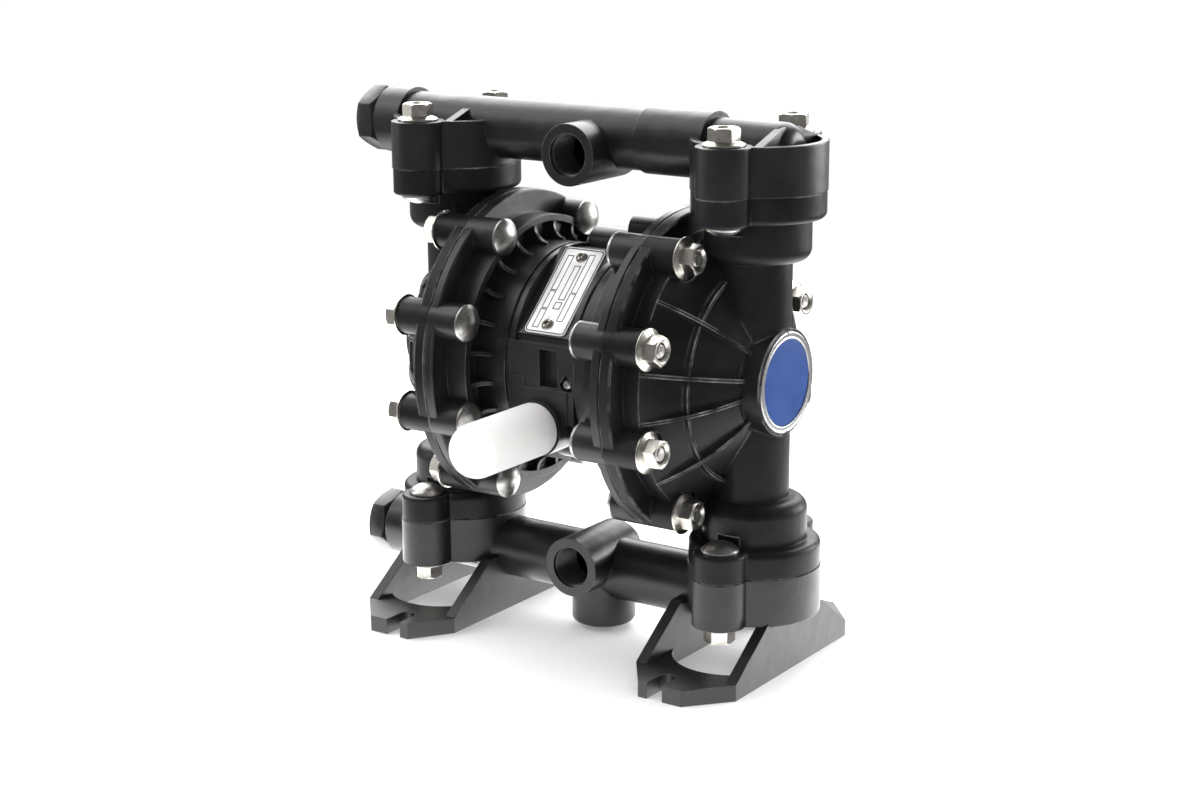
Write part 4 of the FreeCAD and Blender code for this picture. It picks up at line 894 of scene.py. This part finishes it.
brushed_silver = steel_material("brushed_aluminium", {
    "Clean": (0.52, 0.52, 0.525), "Stained": (0.38, 0.38, 0.385), "Polished": 0.24, "Dull": 0.40,
    "Scratch Size": 1400.0}, radius=0.2 * mm, bump=0.006 * mm)
enamel, tree, shader = plain_material("blue_enamel")
place = pump_place(tree)
cloud = noise(tree, place, enamel_cloud_size, detail=4.0, roughness=0.55)
fleck = noise(tree, place, enamel_fleck_size, detail=2.0, roughness=0.5)
tint = blend_colour(tree, spread(tree, cloud, (0.35, 0.68)), (0.009, 0.042, 0.185),
                    (0.014, 0.056, 0.225))
feed(tree, shader, {"Base Color": tint, "Specular IOR Level": 0.14,
                    "Roughness": spread(tree, cloud, (0.35, 0.7), (0.42, 0.55))})
add_bump(tree, shader, fleck, 0.008 * mm)

for side, word in sides:
    place = spot(side * badge_seat_x, 0, 0) @ rotation(90 * side, "Y") @ rotation(90, "Z")
    fit(badge_ring, "badge_ring_" + word, [place], brushed_silver, "plate_metal", "badge_" + word)
    fit(enamel_disc, "badge_enamel_" + word, [place], enamel, "badge_blue")
bpy.data.objects.remove(badge_ring)
bpy.data.objects.remove(enamel_disc)


# Rating plate
# Bare aluminium plate with rounded corners, printed with a dark border and empty boxes, and held
# on the slanted pad of the centre housing by two button-head screws with a hexagon socket.

plate_wide = 23.3 * mm
plate_long = 50.4 * mm
plate_thick = 1.0 * mm
plate_corner = 2.5 * mm
plate_rise = 48.0 * mm
plate_shift = 3.2 * mm
plate_tilt = 43.8
plate_screw_y = 20.0 * mm
plate_hole_r = 1.15 * mm
plate_bevel = 0.12 * mm
print_high = 0.05 * mm
print_line = 0.46 * mm
border_in = 0.45 * mm
border_line = 0.60 * mm
ink_cloud_size = 1200.0
button_r = 3.2 * mm
button_high = 1.6 * mm
socket_r = 1.45 * mm
print_boxes = ((-6.4, 10.0, 3.6, 21.0), (-6.4, -6.0, 3.6, 10.4), (-6.4, -17.0, 3.6, 11.0),
               (0.3, 4.6, 3.6, 20.5), (5.4, 10.5, 3.6, 23.0), (5.4, -9.5, 3.6, 16.4),
               (0.0, -9.0, 4.0, 4.2))
plate_place = spot(0, 0, 0) @ rotation(plate_tilt, "X") @ Matrix.Translation(
    (0, plate_shift, plate_rise))
on_plate = plate_place @ Matrix.Translation((0, 0, plate_thick))


def flat_shape(name, centre, size, corner, thick, line=0.0):
    """Sheet with rounded corners on zero height, or only a line along its edge."""
    bpy.ops.object.select_all(action="DESELECT")
    bpy.ops.mesh.primitive_plane_add(size=1, location=(*centre, 0))
    piece = bpy.context.object
    piece.name = name
    bpy.ops.transform.resize(value=(*size, 1))
    bpy.ops.object.transform_apply(location=True, rotation=False, scale=True)
    start_edit()
    if corner:
        bpy.ops.mesh.bevel(offset=corner, offset_type="OFFSET", segments=8, affect="VERTICES")
        bpy.ops.mesh.select_all(action="SELECT")
    if line:
        bpy.ops.mesh.inset(thickness=line, depth=0)
        bpy.ops.mesh.delete(type="FACE")
        bpy.ops.mesh.select_all(action="SELECT")
    bpy.ops.mesh.extrude_region_move(TRANSFORM_OT_translate={"value": (0, 0, thick)})
    end_edit()
    return piece


plate_sheet = flat_shape("plate_sheet", (0, 0), (plate_wide, plate_long), plate_corner,
                         plate_thick)
for y in (-plate_screw_y, plate_screw_y):
    drill(plate_sheet, 32, plate_hole_r, 6 * plate_thick, (0, y, 0))
apply_modifier(plate_sheet, "BEVEL", width=plate_bevel, segments=2, limit_method="ANGLE",
               angle_limit=math.radians(50))
smooth_edges(plate_sheet, degrees=30)
plate_silver = steel_material("lacquered_plate", {
    "Clean": (0.84, 0.84, 0.835), "Stained": (0.77, 0.77, 0.765), "Polished": 0.34, "Dull": 0.46,
    "Scratch Size": 1800.0}, radius=0.2 * mm, bump=0.005 * mm, metallic=0.25)
fit(plate_sheet, "bare_rating_plate", [plate_place], plate_silver, "plate_metal", "rating_plate")
bpy.data.objects.remove(plate_sheet)

border = (plate_wide - 2 * border_in, plate_long - 2 * border_in)
boxes = [flat_shape("plate_border", (0, 0), border, plate_corner - border_in, print_high,
                    border_line)]
for x, y, wide, long in print_boxes:
    boxes.append(flat_shape("plate_box", (x * mm, y * mm), (wide * mm, long * mm), 0.0, print_high,
                            print_line))
printed = joined("plate_print", boxes)
ink, tree, shader = plain_material("grey_print")
cloud = noise(tree, pump_place(tree), ink_cloud_size, detail=3.0, roughness=0.6)
tint = blend_colour(tree, spread(tree, cloud, (0.35, 0.7)), (0.018, 0.018, 0.019),
                    (0.040, 0.040, 0.040))
feed(tree, shader, {"Base Color": tint, "Roughness": spread(tree, cloud, (0.3, 0.7), (0.45, 0.62))})
fit(printed, "plate_print_lines", [on_plate], ink, "cover_plastic")
bpy.data.objects.remove(printed)


def socket_screw(name, high, radius, shank, grip):
    """Button-head screw along +Z above its seat at zero, with a hexagon socket."""
    crown = [(high * math.sin(math.pi / 2 * k / 7), radius * math.cos(math.pi / 2 * k / 7))
             for k in range(1, 6)]
    steps = [(-grip, shank - 0.2 * mm), (-grip + 0.4 * mm, shank), (0, shank),
             (0, radius - 0.1 * mm), (high * 0.08, radius), *crown,
             (high, socket_r + 0.3 * mm), (high, 0.2 * mm)]
    screw = turned(name, steps, facets=40)
    socket = hexagon("socket", 2 * socket_r * math.cos(math.pi / 6), high * 0.22, high + 1 * mm)
    combine(screw, socket, "DIFFERENCE")
    return smooth_edges(screw, degrees=32)


button = socket_screw("plate_button", button_high, button_r, shank=1.0 * mm, grip=5.0 * mm)
places = [on_plate @ Matrix.Translation((0, y, 0)) for y in (-plate_screw_y, plate_screw_y)]
fit(button, "plate_button_screws", places, nut_steel, "stainless", "rating_plate_screws")
bpy.data.objects.remove(button)


# Small housing screws
# The ground screw at the front of the centre housing and the four screws of the air valve cover:
# stainless pan heads with a cross recess, turned down on the moulded bosses.

ground_x = 14.3 * mm
ground_z = -2.9 * mm
ground_seat_y = 49.9 * mm
valve_screw_seat_y = 68.0 * mm
valve_screws = [(x * mm, z * mm) for x in (-12, 12) for z in (-25, 39)]
screw_pitch = 0.8 * mm
pan_side = 0.45
pan_flat = 0.42
cross_long = 1.15
cross_wide = 0.1875
cross_deep = 1.1
cross_taper = 0.45


def cross_screw(name, high, radius, shank, grip):
    """Pan-head screw along +Z above its seat at zero, with a tapering cross recess."""
    steps = [(-grip, shank * 0.6), (-grip + 0.6 * mm, shank)]
    height = -grip + 1.0 * mm
    while height < -2 * screw_pitch:
        steps += [(height, shank - 0.25 * mm), (height + screw_pitch / 2, shank)]
        height += screw_pitch
    steps += [(-0.4 * mm, shank), (0, shank), (0, radius - 0.1 * mm), (0.1 * mm, radius)]
    for k in range(8):
        a = math.pi / 2 * k / 8
        steps.append((high * (pan_side + (1 - pan_side) * math.sin(a)),
                      radius * (pan_flat + (1 - pan_flat) * math.cos(a))))
    steps += [(high, radius * pan_flat), (high, 0.2 * mm)]
    screw = turned(name, steps, facets=36)
    for degrees in (0, 90):
        bpy.ops.object.select_all(action="DESELECT")
        bpy.ops.mesh.primitive_cube_add(size=1, location=(0, 0, high))
        bar = bpy.context.object
        start_edit()
        bpy.ops.transform.resize(
            value=(radius * cross_long, radius * cross_wide, high * cross_deep))
        bpy.ops.transform.rotate(value=math.radians(degrees), orient_axis="Z",
                                 center_override=(0, 0, high))
        bpy.ops.object.mode_set(mode="OBJECT")
        for vertex in bar.data.vertices:
            if vertex.co.z < 0:
                vertex.co.x *= cross_taper
                vertex.co.y *= cross_taper
        combine(screw, bar, "DIFFERENCE")
    return smooth_edges(screw, degrees=32)


screw = cross_screw("ground_pan", high=1.8 * mm, radius=2.5 * mm, shank=1.45 * mm, grip=6.0 * mm)
fit(screw, "ground_pan_screw", [spot(ground_x, -ground_seat_y, ground_z) @ forwards], forged_steel,
    "stainless", "ground_screw")
bpy.data.objects.remove(screw)
screw = cross_screw("valve_pan", high=2.6 * mm, radius=4.0 * mm, shank=1.9 * mm, grip=9.0 * mm)
places = tightened([spot(x, valve_screw_seat_y, z) @ backwards for x, z in valve_screws],
                   first=math.degrees(0.5), step=math.degrees(0.9))
fit(screw, "valve_pan_screws", places, forged_steel, "stainless", "valve_cover_screws")
bpy.data.objects.remove(screw)


# Diaphragms, shaft and their plates
# Rubber diaphragms clamped at a moulded bead, a ground steel shaft that joins them, cast air-side
# plates and moulded fluid-side plates, held by the shaft's threaded ends. Each diaphragm is cut in
# twelve sectors by planes through the shaft's axis.

sector_count = 12


def diaphragm_sector(node, name, degrees):
    """One sector of a diaphragm, cut from a copy of its mesh by two planes through the axis."""
    sector = bpy.data.objects.new(name, nodes[node].data.copy())
    sector.data.name = name
    bpy.context.collection.objects.link(sector)
    make_active(sector)
    start_edit()
    bpy.ops.mesh.remove_doubles(threshold=1e-6)
    for turn in (-1, 1):
        a = math.radians(degrees + turn * 180 / sector_count)
        bpy.ops.mesh.select_all(action="SELECT")
        bpy.ops.mesh.bisect(plane_co=(0, 0, axis_height), use_fill=True, clear_outer=True,
                            plane_no=(0, -turn * math.sin(a), turn * math.cos(a)))
    bpy.ops.object.mode_set(mode="OBJECT")
    return smooth_edges(sector, degrees=30)


rubber = moulded_material("diaphragm_rubber", {
    "Deep": (0.014, 0.014, 0.014), "Pale": (0.034, 0.034, 0.035), "Edge Highlight": (0.06, 0.06, 0.06),
    "Smooth": 0.52, "Matt": 0.78, "Grain Size": 2600.0}, radius=0.4 * mm, specular=0.25)
for side, word in sides:
    for k in range(sector_count):
        degrees = 360 * k / sector_count
        sector = diaphragm_sector("diaphragm_" + word, f"diaphragm_sector_{word}_{k + 1}", degrees)
        dress(sector.data, rubber)
        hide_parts("diaphragm_" + word)
        way = Vector((0, math.cos(math.radians(degrees)), math.sin(math.radians(degrees))))
        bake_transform(sector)
ground_steel = steel_material("ground_shaft_steel", {
    "Clean": (0.60, 0.60, 0.60), "Stained": (0.48, 0.48, 0.48), "Polished": 0.12, "Dull": 0.24,
    "Scratch Size": 2200.0}, radius=0.2 * mm, bump=0.004 * mm)
finish_nodes(ground_steel, "diaphragm_shaft", *both("pilot_pin"))
cast_plate = steel_material("cast_plate_metal", {
    "Clean": (0.52, 0.52, 0.53), "Stained": (0.36, 0.36, 0.37), "Polished": 0.36, "Dull": 0.58,
    "Scratch Size": 700.0}, radius=0.6 * mm, bump=0.04 * mm)
finish_nodes(cast_plate, *both("air_side_plate"))
plate_plastic = moulded_material("fluid_plate_moulding", {
    "Deep": (0.016, 0.016, 0.017), "Pale": (0.030, 0.030, 0.032), "Smooth": 0.34,
    "Matt": 0.50}, radius=0.5 * mm)
finish_nodes(plate_plastic, *both("fluid_side_plate"))


# Bearings, seals and gaskets
# Off-white acetal bearings for the shaft, black rubber cup seals, O-rings and sheet gaskets, and
# the steel screws that hold the air covers to the housing.

bearing_white = moulded_material("bearing_acetal", {
    "Deep": (0.70, 0.69, 0.65), "Pale": (0.80, 0.79, 0.76), "Edge Highlight": (0.84, 0.83, 0.80),
    "Smooth": 0.35, "Matt": 0.50}, radius=0.3 * mm, specular=0.4)
finish_nodes(bearing_white, *both("shaft_bearing"))
seal_rubber = moulded_material("seal_rubber", {
    "Deep": (0.010, 0.010, 0.010), "Pale": (0.024, 0.024, 0.024), "Edge Highlight": (0.05, 0.05, 0.05),
    "Smooth": 0.45, "Matt": 0.68, "Grain Size": 3200.0}, radius=0.2 * mm, specular=0.25)
finish_nodes(seal_rubber, *both("shaft_packing"), *both("inlet_seat_o_ring"),
             *both("outlet_seat_o_ring"), *both("air_cover_gasket"), "valve_gasket")
finish_nodes(forged_steel, *both("air_cover_screws"))


# Check valves
# Four white fluoroplastic balls that lift off four seats turned from off-white acetal: two in the
# inlet flanges and two under the outlet manifold.

ball_white = moulded_material("ball_fluoroplastic", {
    "Deep": (0.78, 0.78, 0.76), "Pale": (0.86, 0.86, 0.85), "Edge Highlight": (0.88, 0.88, 0.87),
    "Smooth": 0.30, "Matt": 0.46, "Grain Size": 2400.0}, radius=0.2 * mm, specular=0.35)
finish_nodes(ball_white, *both("inlet_check_ball"), *both("outlet_check_ball"))
seat_acetal = moulded_material("seat_acetal", {
    "Deep": (0.66, 0.65, 0.62), "Pale": (0.76, 0.75, 0.72), "Edge Highlight": (0.80, 0.79, 0.76),
    "Smooth": 0.32, "Matt": 0.48}, radius=0.3 * mm, specular=0.4)
finish_nodes(seat_acetal, *both("inlet_valve_seat"), *both("outlet_valve_seat"))


# Air valve
# The carriage that slides on a hard flat valve plate behind the valve cover: a dark acetal moulding
# on a pale plate, lapped flat.

carriage_acetal = moulded_material("carriage_acetal", {
    "Deep": (0.10, 0.10, 0.105), "Pale": (0.14, 0.14, 0.145), "Edge Highlight": (0.20, 0.20, 0.20),
    "Smooth": 0.34, "Matt": 0.48}, radius=0.3 * mm, specular=0.4)
finish_nodes(carriage_acetal, "valve_carriage")
lapped_plate = moulded_material("lapped_valve_plate", {
    "Deep": (0.80, 0.80, 0.79), "Pale": (0.88, 0.88, 0.87), "Edge Highlight": (0.90, 0.90, 0.89),
    "Smooth": 0.16, "Matt": 0.30, "Grain Size": 3000.0}, radius=0.2 * mm, specular=0.5)
finish_nodes(lapped_plate, "valve_plate")
